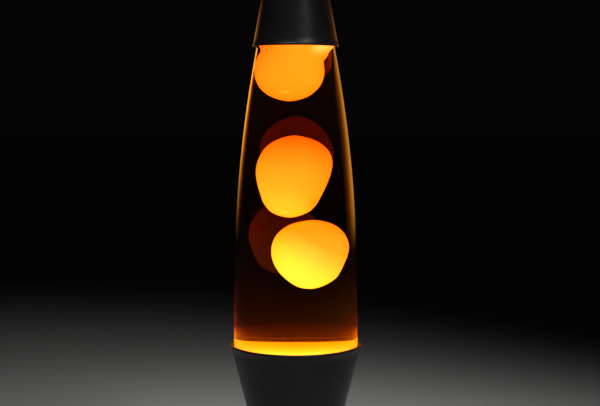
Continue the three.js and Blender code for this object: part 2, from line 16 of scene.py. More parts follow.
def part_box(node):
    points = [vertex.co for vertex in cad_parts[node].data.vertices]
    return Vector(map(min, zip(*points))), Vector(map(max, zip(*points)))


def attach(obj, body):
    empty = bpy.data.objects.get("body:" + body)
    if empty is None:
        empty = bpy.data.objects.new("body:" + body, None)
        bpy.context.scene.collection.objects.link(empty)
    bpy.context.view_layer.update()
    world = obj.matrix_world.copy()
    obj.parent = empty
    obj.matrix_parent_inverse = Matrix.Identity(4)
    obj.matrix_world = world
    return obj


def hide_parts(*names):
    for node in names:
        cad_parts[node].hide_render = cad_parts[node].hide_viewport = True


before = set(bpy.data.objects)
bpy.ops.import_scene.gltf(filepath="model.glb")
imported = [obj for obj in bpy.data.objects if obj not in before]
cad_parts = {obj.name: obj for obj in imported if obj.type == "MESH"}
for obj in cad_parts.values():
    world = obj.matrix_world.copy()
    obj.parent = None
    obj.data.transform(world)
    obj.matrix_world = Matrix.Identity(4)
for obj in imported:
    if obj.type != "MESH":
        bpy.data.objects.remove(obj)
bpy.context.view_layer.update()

MM = 0.001
ROUND = 160  # segments round the large turned pieces
SMALL_ROUND = 48


def low_z(node):
    """Height of a CAD node's underside, in millimetres."""
    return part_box(node)[0].z / MM


def high_z(node):
    """Height of a CAD node's top, in millimetres."""
    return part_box(node)[1].z / MM


# ---- Driving dimensions --------------------------------------------------------

# Globe
BASE_TOP = high_z("base_shell")
GLOBE_R = 45.0
GLOBE_TAPER = 0.0137
BEND_Z = 195.0
BEND_R = 900.0
GLASS = 3.0
SEAT_TOP_Z = 137.0
SEAT_SLOPE = 0.25
BOTTLE_LOW = low_z("glass_bottle")
BOTTLE_HIGH = high_z("glass_bottle")
FLOOR_GLASS = 4.0
SHOULDER_Z = 362.0
NECK_R = 12.4
MOUTH_R = 9.2
LIP_R = 13.3
LIQUID_TOP = high_z("liquid")
POOL_TOP = high_z("wax_pool")
CREASE = 0.15  # height of the soft corner between seat and wall
FILM = 0.05  # space between the glass and the body of liquid

# Base
SHEET = 1.2
FLARE_R = 59.0
FLARE_SLOPE = 0.36
FLARE_Z = 5.5
FLANGE_Z = low_z("base_shell")
FLANGE_INNER_R = 46.0
WAIST_LOW_Z = 63.0
WAIST_HIGH_Z = 98.0
BEAD_R = 1.1
RIM_LIFT = 0.8  # the rolled rim stands a little above the CAD model's
SEAT_GAP = 0.3
SCREW_CIRCLE_R = 51.5

# Cap
CAP_LOW = low_z("top_cap")
CAP_HIGH = high_z("top_cap")
CAP_SHEET = 1.0
CAP_RIM_R = 30.55
CAP_SLOPE = 0.19
CAP_BEAD_R = 0.9
CAP_CORNER_R = 6.0


# ---- Camera, floor and light ---------------------------------------------------

# Places and sizes in this section are in metres.
CAMERA_PLACE = (0.0031, -0.8888, 0.3120)
CAMERA_DIP = 4.463  # degrees below level
LENS = 74.0
SENSOR = 36.0
FLOOR_HALF = 12.0
SURROUND = 0.0015
GLOW_LOW = 0.12  # lower and upper edges of the glow strips
GLOW_HIGH = 0.49


def scene_object(name, data):
    """An object holding some data, put in the scene."""
    made = bpy.data.objects.new(name, data)
    bpy.context.scene.collection.objects.link(made)
    return made


def make_camera():
    """The photograph's viewpoint: a little above the globe's middle, looking slightly down."""
    data = bpy.data.cameras.new("camera")
    data.sensor_width = SENSOR
    data.lens = LENS
    camera = scene_object("camera", data)
    camera.location = CAMERA_PLACE
    camera.rotation_euler = (math.radians(90 - CAMERA_DIP), 0, 0)
    bpy.context.scene.camera = camera


def area_light(name, location, target, size, watts, beam=180):
    """A white softbox. beam is the angle its grid lets out, in degrees."""
    data = bpy.data.lights.new(name, "AREA")
    data.spread = math.radians(beam)
    data.shape = "RECTANGLE"
    data.size, data.size_y = size
    data.energy = watts
    lamp = scene_object(name, data)
    lamp.location = location
    direction = Vector(target) - Vector(location)
    lamp.rotation_euler = direction.to_track_quat("-Z", "Y").to_euler()
    lamp.visible_camera = False
    lamp.visible_transmission = False
    return lamp


def glow_strip(name, near, far, profile, colours, fade_top):
    """A wide warm softbox behind the lamp, seen only as a glow along one edge of the globe.

    It stands on a line from near, almost behind the lamp, to far, out to the side. profile
    gives its radiance and colours its tint, both along that line; it fades out downwards.
    """
    strength = max(radiance for _, radiance in profile)
    near, far = Vector((*near, 0)), Vector((*far, 0))
    width, height = (far - near).length, GLOW_HIGH - GLOW_LOW
    middle = (near + far) / 2 + Vector((0, 0, (GLOW_LOW + GLOW_HIGH) / 2))
    watts = strength * math.pi * width * height
    lamp = area_light(name, middle, (0, 0, middle.z), (width, height), watts)
    lamp.visible_diffuse = False
    lamp.data.use_nodes = True
    tree = lamp.data.node_tree
    place = tree.nodes.new("ShaderNodeNewGeometry")
    split = tree.nodes.new("ShaderNodeSeparateXYZ")
    fill(split, {"Vector": place.outputs["Parametric"]})
    ends = (0.0, 1.0) if near.x > far.x else (1.0, 0.0)
    along = spread(tree, split.outputs["X"], *ends)
    shade = ramp(tree, along, [(at, (radiance / strength,) * 3) for at, radiance in profile])
    fade = smooth_step(tree, split.outputs["Y"], 0.0, fade_top)
    fill(tree.nodes["Emission"], {
        "Color": ramp(tree, along, colours), "Strength": maths(tree, "MULTIPLY", shade, fade),
    })


def make_stage():
    """A plain pale floor in a pool of soft light that fades to a dim surround."""
    mesh = bpy.data.meshes.new("floor")
    corners = [(x * FLOOR_HALF, y * FLOOR_HALF, 0) for x, y in ((-1, -1), (1, -1), (1, 1), (-1, 1))]
    mesh.from_pydata(corners, [], [(0, 1, 2, 3)])
    floor = scene_object("floor", mesh)
    floor.data.materials.append(floor_material())

    world = bpy.data.worlds.new("studio")
    world.use_nodes = True
    fill(world.node_tree.nodes["Background"], {"Color": (SURROUND, SURROUND, SURROUND, 1), "Strength": 1.0})
    bpy.context.scene.world = world

    area_light("overhead", (-0.16, -0.36, 1.25), (0, -0.16, 0), (0.5, 0.5), 0.85, beam=50)
    area_light("high_front", (0.62, -0.9, 1.3), (0, -0.08, 0.1), (0.4, 0.4), 0.75, beam=40)
    glow_strip(
        "left_glow", (-0.05, 1.0), (-0.77, 0.64),
        [(0.0, 0.4), (0.3, 2.0), (0.5, 3.4), (0.62, 2.5), (0.78, 0.9), (1.0, 0.0)],
        [(0.3, (1.0, 0.5, 0.05)), (0.5, (1.0, 0.36, 0.02)), (0.8, (1.0, 0.12, 0.0))], 0.8,
    )
    glow_strip(
        "right_glow", (0.05, 1.0), (0.94, 0.34),
        [(0.0, 0.2), (0.3, 1.0), (0.45, 1.7), (0.6, 1.3), (0.76, 0.45), (1.0, 0.0)],
        [(0.25, (1.0, 0.42, 0.05)), (0.45, (1.0, 0.34, 0.02)), (0.75, (1.0, 0.23, 0.005))], 0.3,
    )

    scene = bpy.context.scene
    scene.view_settings.view_transform = "Standard"
    cycles = scene.cycles
    cycles.max_bounces = 24
    cycles.transmission_bounces = 24
    cycles.glossy_bounces = 12
    cycles.diffuse_bounces = 4
    cycles.caustics_reflective = False
    cycles.caustics_refractive = False


# ---- Material helpers ----------------------------------------------------------

WATER = 1.37
CROWN_GLASS = 1.5
LIQUID_TINT = (0.9, 0.74, 0.1, 1)
LIQUID_DENSITY = 100.0
PAINTED_GLOW_RISE = 90  # how far the painted glow reaches above the wax pool
CLOUD = 0.16  # how far the wax's random cloudiness shifts its painted glow
# Strengths of the painted glow on the wax lumps and on the wax pool
WAX_GLOW = 3.2
POOL_GLOW = 5.5


def fill(node, values):
    """Sets a node's inputs: an output is linked to one, anything else becomes its value."""
    for key, value in values.items():
        if isinstance(value, bpy.types.NodeSocket):
            node.id_data.links.new(value, node.inputs[key])
        else:
            node.inputs[key].default_value = value


def new_material(name):
    """A Principled material; returns the material, its node tree and the shader."""
    material = bpy.data.materials.new(name)
    material.use_nodes = True
    tree = material.node_tree
    return material, tree, tree.nodes["Principled BSDF"]


def clear_material(name, ior):
    """A clear material. ior is the step in refractive index from outside its surface to inside."""
    material, tree, shader = new_material(name)
    fill(shader, {"Base Color": (1, 1, 1, 1), "Transmission Weight": 1.0, "Roughness": 0.0, "IOR": ior})
    return material, tree, shader


def noise(tree, scale, detail, stretch=(1, 1, 1)):
    """Noise in the piece's own coordinates, scale in features per metre."""
    place = tree.nodes.new("ShaderNodeTexCoord")
    mapping = tree.nodes.new("ShaderNodeMapping")
    fill(mapping, {"Vector": place.outputs["Object"], "Scale": stretch})
    texture = tree.nodes.new("ShaderNodeTexNoise")
    fill(texture, {"Vector": mapping.outputs["Vector"], "Scale": scale, "Detail": detail})
    return texture.outputs["Fac"]


def maths(tree, operation, *values):
    """A sum on numbers or outputs."""
    node = tree.nodes.new("ShaderNodeMath")
    node.operation = operation
    fill(node, dict(enumerate(values)))
    return node.outputs["Value"]


def ramp(tree, value, stops):
    """A colour ramp on a value; stops are (position, colour) pairs."""
    node = tree.nodes.new("ShaderNodeValToRGB")
    elements = node.color_ramp.elements
    while len(elements) < len(stops):
        elements.new(0.5)
    for element, (position, colour) in zip(elements, stops):
        element.position = position
        element.color = (*colour, 1)
    fill(node, {"Fac": value})
    return node.outputs["Color"]


def spread(tree, value, low, high):
    """Maps a 0 to 1 value onto a range."""
    node = tree.nodes.new("ShaderNodeMapRange")
    fill(node, {"Value": value, "To Min": low, "To Max": high})
    return node.outputs["Result"]


def smooth_step(tree, value, start, end):
    """0 at start and 1 at end, with a soft rise between them."""
    node = tree.nodes.new("ShaderNodeMapRange")
    node.interpolation_type = "SMOOTHSTEP"
    fill(node, {"Value": value, "From Min": start, "From Max": end})
    return node.outputs["Result"]


def bump(shader, height, strength, distance):
    """Roughens a shader's surface by a height; distance is its full depth in metres."""
    node = shader.id_data.nodes.new("ShaderNodeBump")
    fill(node, {"Strength": strength, "Distance": distance, "Height": height})
    fill(shader, {"Normal": node.outputs["Normal"]})


def floor_material():
    """Matt pale grey with a slow, faint unevenness."""
    material, tree, shader = new_material("pale_floor")
    tint = ramp(tree, noise(tree, 3, 4), [(0.3, (0.60, 0.59, 0.575)), (0.7, (0.64, 0.63, 0.615))])
    fill(shader, {"Base Color": tint, "Roughness": 0.8, "Specular IOR Level": 0.0})
    return material


def black_paint():
    """Satin black paint over spun metal: faint turning rings, orange peel and dust."""
    material, tree, shader = new_material("black_paint")
    fine = noise(tree, 900, 3)
    rings = noise(tree, 700, 2, (0.02, 0.02, 1))
    dust = noise(tree, 60, 6)
    fill(shader, {
        "Base Color": ramp(tree, dust, [(0.35, (0.005, 0.005, 0.0055)), (0.75, (0.011, 0.0107, 0.0104))]),
        "Roughness": spread(tree, dust, 0.3, 0.42), "Metallic": 0.0, "Specular IOR Level": 0.16,
    })
    bump(shader, maths(tree, "ADD", fine, rings), 0.25, 0.00005)
    return material


def glass_material(name, ior):
    """Clear glass with a faint waviness."""
    material, tree, shader = clear_material(name, ior)
    bump(shader, noise(tree, 28, 1), 0.04, 0.0004)
    return material


def liquid_materials():
    """The tinted liquid's wetted sides, which don't bend light, and its free surface.

    Its sides carry a faint painted glow, brightest just above the wax pool, that stands in for the pool's
    light.
    """
    made = []
    for name, ior in (("tinted_liquid", 1.0), ("tinted_liquid_surface", WATER)):
        material, tree, shader = clear_material(name, ior)
        absorb = tree.nodes.new("ShaderNodeVolumeAbsorption")
        fill(absorb, {"Color": LIQUID_TINT, "Density": LIQUID_DENSITY})
        fill(tree.nodes["Material Output"], {"Volume": absorb.outputs["Volume"]})
        # Painted glow: emission up the liquid, brightest at the wax pool.
        rise = glow_gradient(tree, (0, 0, POOL_TOP), (0, 0, POOL_TOP + PAINTED_GLOW_RISE))
        painted_pool_glow = ramp(tree, rise, [
            (0.0, (0.075, 0.008, 0.0)), (0.08, (0.03, 0.004, 0.0002)), (0.25, (0.0105, 0.0025, 0.0005)),
            (0.6, (0.003, 0.001, 0.0003)), (1.0, (0.0008, 0.0004, 0.0003)),
        ])
        fill(shader, {"Emission Color": painted_pool_glow, "Emission Strength": 1.0})
        made.append(material)
    return made


def glow_gradient(tree, start, end):
    """0 at one point and 1 at another, in millimetres, straight between them."""
    start, end = Vector(start) * MM, Vector(end) * MM
    way = end - start
    place = tree.nodes.new("ShaderNodeTexCoord")
    dot = tree.nodes.new("ShaderNodeVectorMath")
    dot.operation = "DOT_PRODUCT"
    fill(dot, {0: place.outputs["Object"], 1: way / way.length_squared})
    return maths(tree, "SUBTRACT", dot.outputs["Value"], start.dot(way) / way.length_squared)


def streak(tree, centre, size, tilt):
    """1 at a point and 0 away from it: the mask of a painted highlight or painted shade. size is its
    half-lengths, tilt its slope in degrees.
    """
    place = tree.nodes.new("ShaderNodeTexCoord")
    mapping = tree.nodes.new("ShaderNodeMapping")
    mapping.vector_type = "TEXTURE"
    fill(mapping, {
        "Vector": place.outputs["Object"], "Location": Vector(centre) * MM,
        "Rotation": (0, -math.radians(tilt), 0), "Scale": Vector(size) * MM,
    })
    length = tree.nodes.new("ShaderNodeVectorMath")
    length.operation = "LENGTH"
    fill(length, {0: mapping.outputs["Vector"]})
    return smooth_step(tree, length.outputs["Value"], 1.0, 0.0)


def wax_material(name, start, end, stops, strength, painted_streaks):
    """Warm wax with a painted glow: emission along a slanting gradient stands in for the bulb's light from
    below.

    Each streak is (centre, size, tilt, share, colour), a painted highlight or a painted shade.
    """
    material, tree, shader = new_material(name)
    # Painted glow: the gradient, shifted by random cloudiness, picks the glow's colour.
    along = maths(tree, "SUBTRACT", glow_gradient(tree, start, end), CLOUD / 2)
    colour = ramp(tree, maths(tree, "MULTIPLY_ADD", noise(tree, 45, 3), CLOUD, along), stops)
    # Painted highlights and painted shade, mixed into the painted glow.
    for where, size, tilt, share, shade in painted_streaks:
        mix = tree.nodes.new("ShaderNodeMix")
        mix.data_type = "RGBA"
        mask = maths(tree, "MULTIPLY", streak(tree, where, size, tilt), share)
        fill(mix, {"Factor": mask, "A": colour, "B": (*shade, 1)})
        colour = mix.outputs["Result"]
    fill(shader, {
        "Emission Color": colour, "Emission Strength": strength, "Base Color": (0.85, 0.35, 0.04, 1),
        "Roughness": 0.25, "IOR": 1.12,
    })
    bump(shader, noise(tree, 160, 2), 0.1, 0.0003)
    return material


def metal_material(name, colour, roughness):
    """Bright or dark metal with fine grain and a little tarnish."""
    material, tree, shader = new_material(name)
    stain = noise(tree, 120, 5)
    darker = tuple(c * 0.7 for c in colour)
    fill(shader, {
        "Base Color": ramp(tree, stain, [(0.3, darker), (0.65, colour)]),
        "Roughness": spread(tree, stain, roughness * 1.4, roughness * 0.8), "Metallic": 1.0,
    })
    bump(shader, noise(tree, 1500, 2), 0.12, 0.00004)
    return material


def plain_material(name, dark, light, roughness, grain):
    """Rubber or moulded plastic: mottled colour and a fine grain."""
    material, tree, shader = new_material(name)
    mottle = noise(tree, 90, 5)
    fill(shader, {
        "Base Color": ramp(tree, mottle, [(0.3, dark), (0.7, light)]),
        "Roughness": spread(tree, mottle, roughness + 0.08, roughness - 0.08),
    })
    bump(shader, noise(tree, grain, 3), 0.3, 0.00008)
    return material


def frosted_glass():
    """Etched glass at the front of the bulb, aglow with the filament behind it."""
    material, tree, shader = new_material("frosted_glass")
    along = glow_gradient(tree, (0, 0, 82), (0, 0, 96))
    warm = ramp(tree, along, [(0.0, (1.0, 0.42, 0.12)), (0.6, (1.0, 0.62, 0.28)), (1.0, (1.0, 0.78, 0.48))])
    frost = ramp(tree, noise(tree, 700, 3), [(0.3, (0.85, 0.83, 0.8)), (0.7, (0.92, 0.91, 0.9))])
    fill(shader, {
        "Emission Color": warm, "Emission Strength": 4.0, "Base Color": frost, "Roughness": 0.45,
    })
    bump(shader, noise(tree, 2500, 2), 0.2, 0.00003)
    return material


# ---- Mesh helpers --------------------------------------------------------------

def add_piece(name, vertices, faces, materials, body, node, face_slots=None):
    """Makes a smooth piece in metres, riding on a body and standing for a CAD node."""
    mesh = bpy.data.meshes.new(name)
    mesh.from_pydata([tuple(c * MM for c in v) for v in vertices], [], faces)
    mesh.validate()
    for material in materials:
        mesh.materials.append(material)
    if face_slots is not None:
        mesh.polygons.foreach_set("material_index", face_slots)
    mesh.polygons.foreach_set("use_smooth", [True] * len(mesh.polygons))
    mesh.update()
    piece = scene_object(name, mesh)
    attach(piece, body)
    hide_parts(node)
    return piece


def bend(start, control, end, steps):
    """Points of a quadratic curve, without its first point."""
    points = []
    for i in range(1, steps + 1):
        t = i / steps
        points.append(tuple(
            (1 - t) ** 2 * a + 2 * t * (1 - t) * b + t * t * c
            for a, b, c in zip(start, control, end)
        ))
    return points


def curve(start, control, end, steps):
    """Points of a quadratic curve, its first point included."""
    return [start, *bend(start, control, end, steps)]


def arc(centre, radius, start, end, steps):
    """Points of an arc, angles in degrees, both ends included."""
    angles = np.radians(np.linspace(start, end, steps + 1))
    return [(centre[0] + radius * math.cos(a), centre[1] + radius * math.sin(a)) for a in angles]


def beside(points, distance):
    """The line beside a line of points, a fixed distance to its left."""
    made = []
    for i, point in enumerate(points):
        here = Vector(point)
        before = Vector(points[max(i - 1, 0)])
        after = Vector(points[min(i + 1, len(points) - 1)])
        arriving = (here - before if i > 0 else after - here).normalized()
        leaving = (after - here if i < len(points) - 1 else arriving).normalized()
        normal = Vector((-arriving.y - leaving.y, arriving.x + leaving.x)).normalized()
        stretch = normal.dot(Vector((-arriving.y, arriving.x)))
        made.append(tuple(here + normal * distance / stretch))
    return made


def turned_mesh(outline, segments, ring):
    """Vertices and faces of a solid of revolution. A ring outline closes on itself."""
    vertices = []
    rows = []
    for r, z in outline:
        if r < 1e-6:
            rows.append([len(vertices)] * segments)
            vertices.append((0, 0, z))
            continue
        rows.append(list(range(len(vertices), len(vertices) + segments)))
        for i in range(segments):
            angle = 2 * math.pi * i / segments
            vertices.append((r * math.cos(angle), r * math.sin(angle), z))
    faces = []
    face_rows = []
    pairs = list(zip(range(len(rows)), range(1, len(rows))))
    if ring:
        pairs.append((len(rows) - 1, 0))
    for row, following in pairs:
        for i in range(segments):
            j = (i + 1) % segments
            corners = [rows[row][i], rows[row][j], rows[following][j], rows[following][i]]
            corners = list(dict.fromkeys(corners))
            if len(corners) > 2:
                faces.append(corners)
                face_rows.append(row)
    area = sum(a[0] * b[1] - b[0] * a[1] for a, b in zip(outline, outline[1:] + outline[:1]))
    if area < 0:
        faces = [face[::-1] for face in faces]
    return vertices, faces, face_rows


def turned(name, outline, materials, body, node, segments=ROUND, pick=None):
    """A turned piece. pick gives the material number of the outline's stretch from point i on."""
    ring = outline[0][0] > 1e-6 or outline[-1][0] > 1e-6
    vertices, faces, rows = turned_mesh(outline, segments, ring)
    slots = [pick(row) for row in rows] if pick else None
    return add_piece(name, vertices, faces, materials, body, node, slots)


def sharpen(piece, degrees):
    """Shades a piece's edges sharp where they turn by more than an angle."""
    piece.data.set_sharp_from_angle(angle=math.radians(degrees))


def cutter(vertices, faces):
    """A closed mesh for cut to take away."""
    mesh = bpy.data.meshes.new("cutter")
    mesh.from_pydata([tuple(c * MM for c in v) for v in vertices], [], faces)
    return scene_object("cutter", mesh)


def rod_cutter(radius, low, high, segments=SMALL_ROUND):
    """An upright round cutter on the Z axis."""
    outline = [(0, low), (radius, low), (radius, high), (0, high)]
    vertices, faces, _ = turned_mesh(outline, segments, False)
    return cutter(vertices, faces)


def cut(piece, tools):
    """Cuts tools out of a piece, then throws them away."""
    for tool in tools:
        modifier = piece.modifiers.new("cut", "BOOLEAN")
        modifier.operation = "DIFFERENCE"
        modifier.solver = "EXACT"
        modifier.object = tool
    bpy.context.view_layer.update()
    graph = bpy.context.evaluated_depsgraph_get()
    mesh = bpy.data.meshes.new_from_object(piece.evaluated_get(graph))
    piece.modifiers.clear()
    old = piece.data
    piece.data = mesh
    bpy.data.meshes.remove(old)
    for tool in tools:
        bpy.data.objects.remove(tool)


def hole_ring(count, circle_r, hole_r, low, high, segments):
    """Upright round cutters spaced round a circle."""
    holes = []
    for i in range(count):
        hole = rod_cutter(hole_r, low, high, segments)
        hole.location = Vector((*polar(circle_r, 360 / count * i), 0)) * MM
        holes.append(hole)
    return holes


# ---- Globe ---------------------------------------------------------------------

def globe_radius(z):
    """The globe's outer radius above its seat."""
    above = max(0.0, z - BEND_Z)
    return GLOBE_R - GLOBE_TAPER * (z - BASE_TOP) - above ** 2 / (2 * BEND_R)


def seat_radius(z):
    """The bottle's outer radius down in the base."""
    return GLOBE_R - SEAT_SLOPE * (SEAT_TOP_Z - z)


def inside_radius(z):
    """The inner radius of the glass."""
    return (seat_radius(z) if z < SEAT_TOP_Z else globe_radius(z)) - GLASS


def wall_heights():
    """Heights up the wall, with an extra row so that the corner below it keeps to itself."""
    return [SEAT_TOP_Z, SEAT_TOP_Z + CREASE, *np.linspace(SEAT_TOP_Z + 4, SHOULDER_Z, 58)]


def inside_line(shrink=0.0):
    """The bottle's inner face from the middle of its floor up to its shoulder."""
    floor = BOTTLE_LOW + FLOOR_GLASS + shrink
    corner = (inside_radius(floor) - shrink, floor)
    corner_r = 4
    edge = (corner[0] - corner_r, floor)
    corner_top = (inside_radius(floor + corner_r) - shrink, floor + corner_r)
    return [
        (0, floor), *curve(edge, corner, corner_top, 8),
        (inside_radius(SEAT_TOP_Z - CREASE) - shrink, SEAT_TOP_Z - CREASE),
        *[(inside_radius(z) - shrink, z) for z in wall_heights()],
    ]


def make_bottle(outer, wet, dry):
    """The glass bottle; its inner face is wet up to the liquid's top and dry above it."""
    corner_r = 5.0
    corner_top = (seat_radius(BOTTLE_LOW + corner_r), BOTTLE_LOW + corner_r)
    corner = (seat_radius(BOTTLE_LOW), BOTTLE_LOW)
    edge = (corner[0] - corner_r, BOTTLE_LOW)
    shoulder = (globe_radius(SHOULDER_Z), SHOULDER_Z)
    shoulder_top = (20.0, 372.5)
    neck = (NECK_R, 381.0)
    lip_low = BOTTLE_HIGH - 5
    lip_round = 1.5
    lip_side = (LIP_R, BOTTLE_HIGH - lip_round)
    outside = [
        (0, BOTTLE_LOW), *curve(edge, corner, corner_top, 10),
        (seat_radius(SEAT_TOP_Z - CREASE), SEAT_TOP_Z - CREASE),
        *[(globe_radius(z), z) for z in wall_heights()],
        *bend(shoulder, (25.3, 369.5), shoulder_top, 12),
        *bend(shoulder_top, (NECK_R, 376.5), neck, 10),
        (NECK_R, lip_low), (LIP_R, lip_low + 1),
        *curve(lip_side, (LIP_R, BOTTLE_HIGH), (LIP_R - lip_round, BOTTLE_HIGH), 5),
    ]
    inner_shoulder = (inside_radius(SHOULDER_Z), SHOULDER_Z)
    inner_top = (16.5, 370.0)
    inside = [
        *inside_line(),
        *bend(inner_shoulder, (22.4, 367.2), inner_top, 12),
        *bend(inner_top, (MOUTH_R, 373.5), (MOUTH_R, 379.0), 10),
        (MOUTH_R, BOTTLE_HIGH),
    ]
    outline = outside + inside[::-1]
    inner_from = len(outside)

    def pick(row):
        if row < inner_from:
            return 0
        return 1 if outline[row][1] <= LIQUID_TOP else 2

    turned("bottle", outline, [outer, wet, dry], "globe", "glass_bottle", pick=pick)


def make_liquid(side, surface):
    """The body of liquid, a film's width inside the glass."""
    top_edge = (inside_radius(SHOULDER_Z) - 1.0, LIQUID_TOP)
    outline = [*inside_line(FILM), top_edge, (0, LIQUID_TOP)]
    top_from = len(outline) - 2
    turned(
        "liquid_fill", outline, [side, surface], "globe", "liquid",
        pick=lambda row: 1 if row >= top_from else 0,
    )


# ---- Wax -----------------------------------------------------------------------

def smooth_loop(points, per_point=12):
    """A closed Catmull-Rom curve through points."""
    count = len(points)
    made = []
    for i in range(count):
        a, b, c, d = (np.array(points[(i + k) % count], float) for k in (-1, 0, 1, 2))
        for step in range(per_point):
            t = step / per_point
            made.append(0.5 * (
                2 * b + (c - a) * t + (2 * a - 5 * b + 4 * c - d) * t * t
                + (3 * b - a - 3 * c + d) * t ** 3
            ))
    return np.array(made)


def wax_body(name, outline, material, body, node):
    """A lump of wax. The outline is its front view, (x, z) points clockwise from its top."""
    rows, segments = 72, 96
    loop = smooth_loop(outline)
    top = int(loop[:, 1].argmax())
    loop = np.roll(loop, -top, axis=0)
    bottom = int(loop[:, 1].argmin())
    right = loop[: bottom + 1]
    left = np.vstack([loop[bottom:], loop[:1]])
    high, low = loop[0], loop[bottom]
    vertices = [(low[0], 0, low[1])]
    for row in range(1, rows):
        angle = -math.pi / 2 + math.pi * row / rows
        z = (high[1] + low[1]) / 2 + (high[1] - low[1]) / 2 * math.sin(angle)
        edge_right = np.interp(-z, -right[:, 1], right[:, 0])
        edge_left = np.interp(z, left[:, 1], left[:, 0])
        centre, half = (edge_left + edge_right) / 2, (edge_right - edge_left) / 2
        for i in range(segments):
            turn = 2 * math.pi * i / segments
            vertices.append((centre + half * math.cos(turn), half * math.sin(turn), z))
    vertices.append((high[0], 0, high[1]))
    last = len(vertices) - 1
    faces = []
    for i in range(segments):
        j = (i + 1) % segments
        faces.append((0, 1 + j, 1 + i))
        for row in range(rows - 2):
            at = 1 + row * segments
            faces.append((at + i, at + j, at + segments + j, at + segments + i))
        at = 1 + (rows - 2) * segments
        faces.append((at + i, at + j, last))
    add_piece(name, vertices, faces, [material], body, node)


MIDDLE_OUTLINE = [
    (-0.5, 290.2), (8.5, 287.7), (14.3, 283.4), (18.1, 277.5), (19.3, 270.5), (18.4, 263.0),
    (16.3, 255.5), (13.6, 248.0), (10.4, 240.8), (5.6, 235.6), (-3.2, 232.5), (-12.0, 235.5),
    (-16.7, 241.8), (-18.9, 249.5), (-20.5, 257.5), (-21.0, 265.5), (-19.4, 274.0), (-15.6, 282.0),
    (-9.0, 287.7),
]

LOWER_OUTLINE = [
    (8.0, 230.4), (15.6, 229.2), (21.8, 225.6), (26.4, 219.2), (28.5, 211.5), (27.8, 204.8),
    (25.8, 198.6), (23.8, 193.4), (21.6, 189.2), (17.4, 185.4), (12.2, 182.6), (6.8, 181.8),
    (1.2, 183.2), (-4.2, 187.6), (-9.0, 193.8), (-12.0, 201.0), (-12.9, 208.2), (-12.0, 215.2),
    (-8.9, 221.8), (-2.4, 227.6),
]

TOP_OUTLINE = [
    (0.0, 360.5), (14.0, 360.2), (21.8, 359.4), (23.6, 357.6), (23.2, 355.6), (20.4, 353.2),
    (17.6, 349.6), (16.2, 345.8), (14.6, 342.6), (14.9, 335.0), (13.8, 328.0), (10.6, 322.0),
    (5.0, 317.0), (-3.6, 314.6), (-12.0, 317.2), (-17.6, 322.0), (-20.8, 328.4), (-21.9, 335.0),
    (-21.7, 341.0), (-19.8, 346.4), (-18.2, 350.6), (-19.8, 354.6), (-23.5, 357.2), (-21.6, 359.4),
    (-13.0, 360.3),
]


def make_wax():
    """The four lumps of wax, their painted glow yellower and brighter the nearer they are to the bulb."""
    # The tint of the painted highlights on the lumps.
    pale = (1.0, 0.95, 0.4)
    # The tint of the painted shade at the pool's two ends.
    pool_end_shade_tint = (0.6, 0.09, 0.01)
    middle = wax_material(
        "middle_wax", (2, 0, 291), (-9, 0, 236),
        [(0.0, (1.0, 0.085, 0.003)), (0.28, (1.0, 0.155, 0.009)), (0.65, (1.0, 0.26, 0.026)),
         (1.0, (1.0, 0.44, 0.075))],
        WAX_GLOW,
        # A painted shade at the lower right, then two painted highlights near the bottom.
        [((10, 0, 243), (10, 60, 6), 60, 0.55, (1.0, 0.19, 0.01)),
         ((-7, 0, 236.5), (5, 60, 0.9), 26, 0.45, pale), ((-10, 0, 238.6), (2.8, 60, 0.6), -26, 0.3, pale)],
    )
    lower = wax_material(
        "lower_wax", (20, 0, 230), (-8, 0, 188),
        [(0.0, (1.0, 0.195, 0.014)), (0.3, (1.0, 0.235, 0.022)), (0.5, (1.0, 0.38, 0.07)),
         (0.75, (1.0, 0.62, 0.13)), (1.0, (1.0, 0.85, 0.34))],
        WAX_GLOW,
        # A painted highlight near the bottom.
        [((1, 0, 187), (5.6, 60, 0.9), -27, 0.4, pale)],
    )
    top = wax_material(
        "top_wax", (-18, 0, 356), (20, 0, 320),
        [(0.0, (1.0, 0.09, 0.004)), (0.3, (1.0, 0.145, 0.006)), (0.65, (1.0, 0.175, 0.008)),
         (1.0, (1.0, 0.22, 0.013))],
        WAX_GLOW,
        # Two faint painted highlights.
        [((16, 0, 353), (10, 60, 6), 24, 0.16, pale), ((-6, 0, 321.5), (6, 60, 1.2), 8, 0.12, pale)],
    )
    pool = wax_material(
        # The pool's painted glow runs from bright at its back to dark at its front.
        "pool_wax", (0, 42, POOL_TOP), (0, -42, POOL_TOP),
        [(0.0, (1.0, 0.55, 0.1)), (0.2, (0.9, 0.46, 0.08)), (0.45, (0.7, 0.4, 0.07)),
         (0.78, (0.6, 0.36, 0.07)), (0.92, (0.4, 0.16, 0.04)), (1.0, (0.14, 0.035, 0.01))],
        POOL_GLOW,
        # Painted shade over the pool's two ends.
        [((side * 46, 0, POOL_TOP), (38, 400, 400), 0, 1.0, pool_end_shade_tint) for side in (-1, 1)],
    )
    wax_body("middle_blob", MIDDLE_OUTLINE, middle, "middle_wax", "wax_blob_middle")
    wax_body("lower_blob", LOWER_OUTLINE, lower, "lower_wax", "wax_blob_lower")
    wax_body("floating_wax", TOP_OUTLINE, top, "globe", "wax_top")
    make_pool(pool)


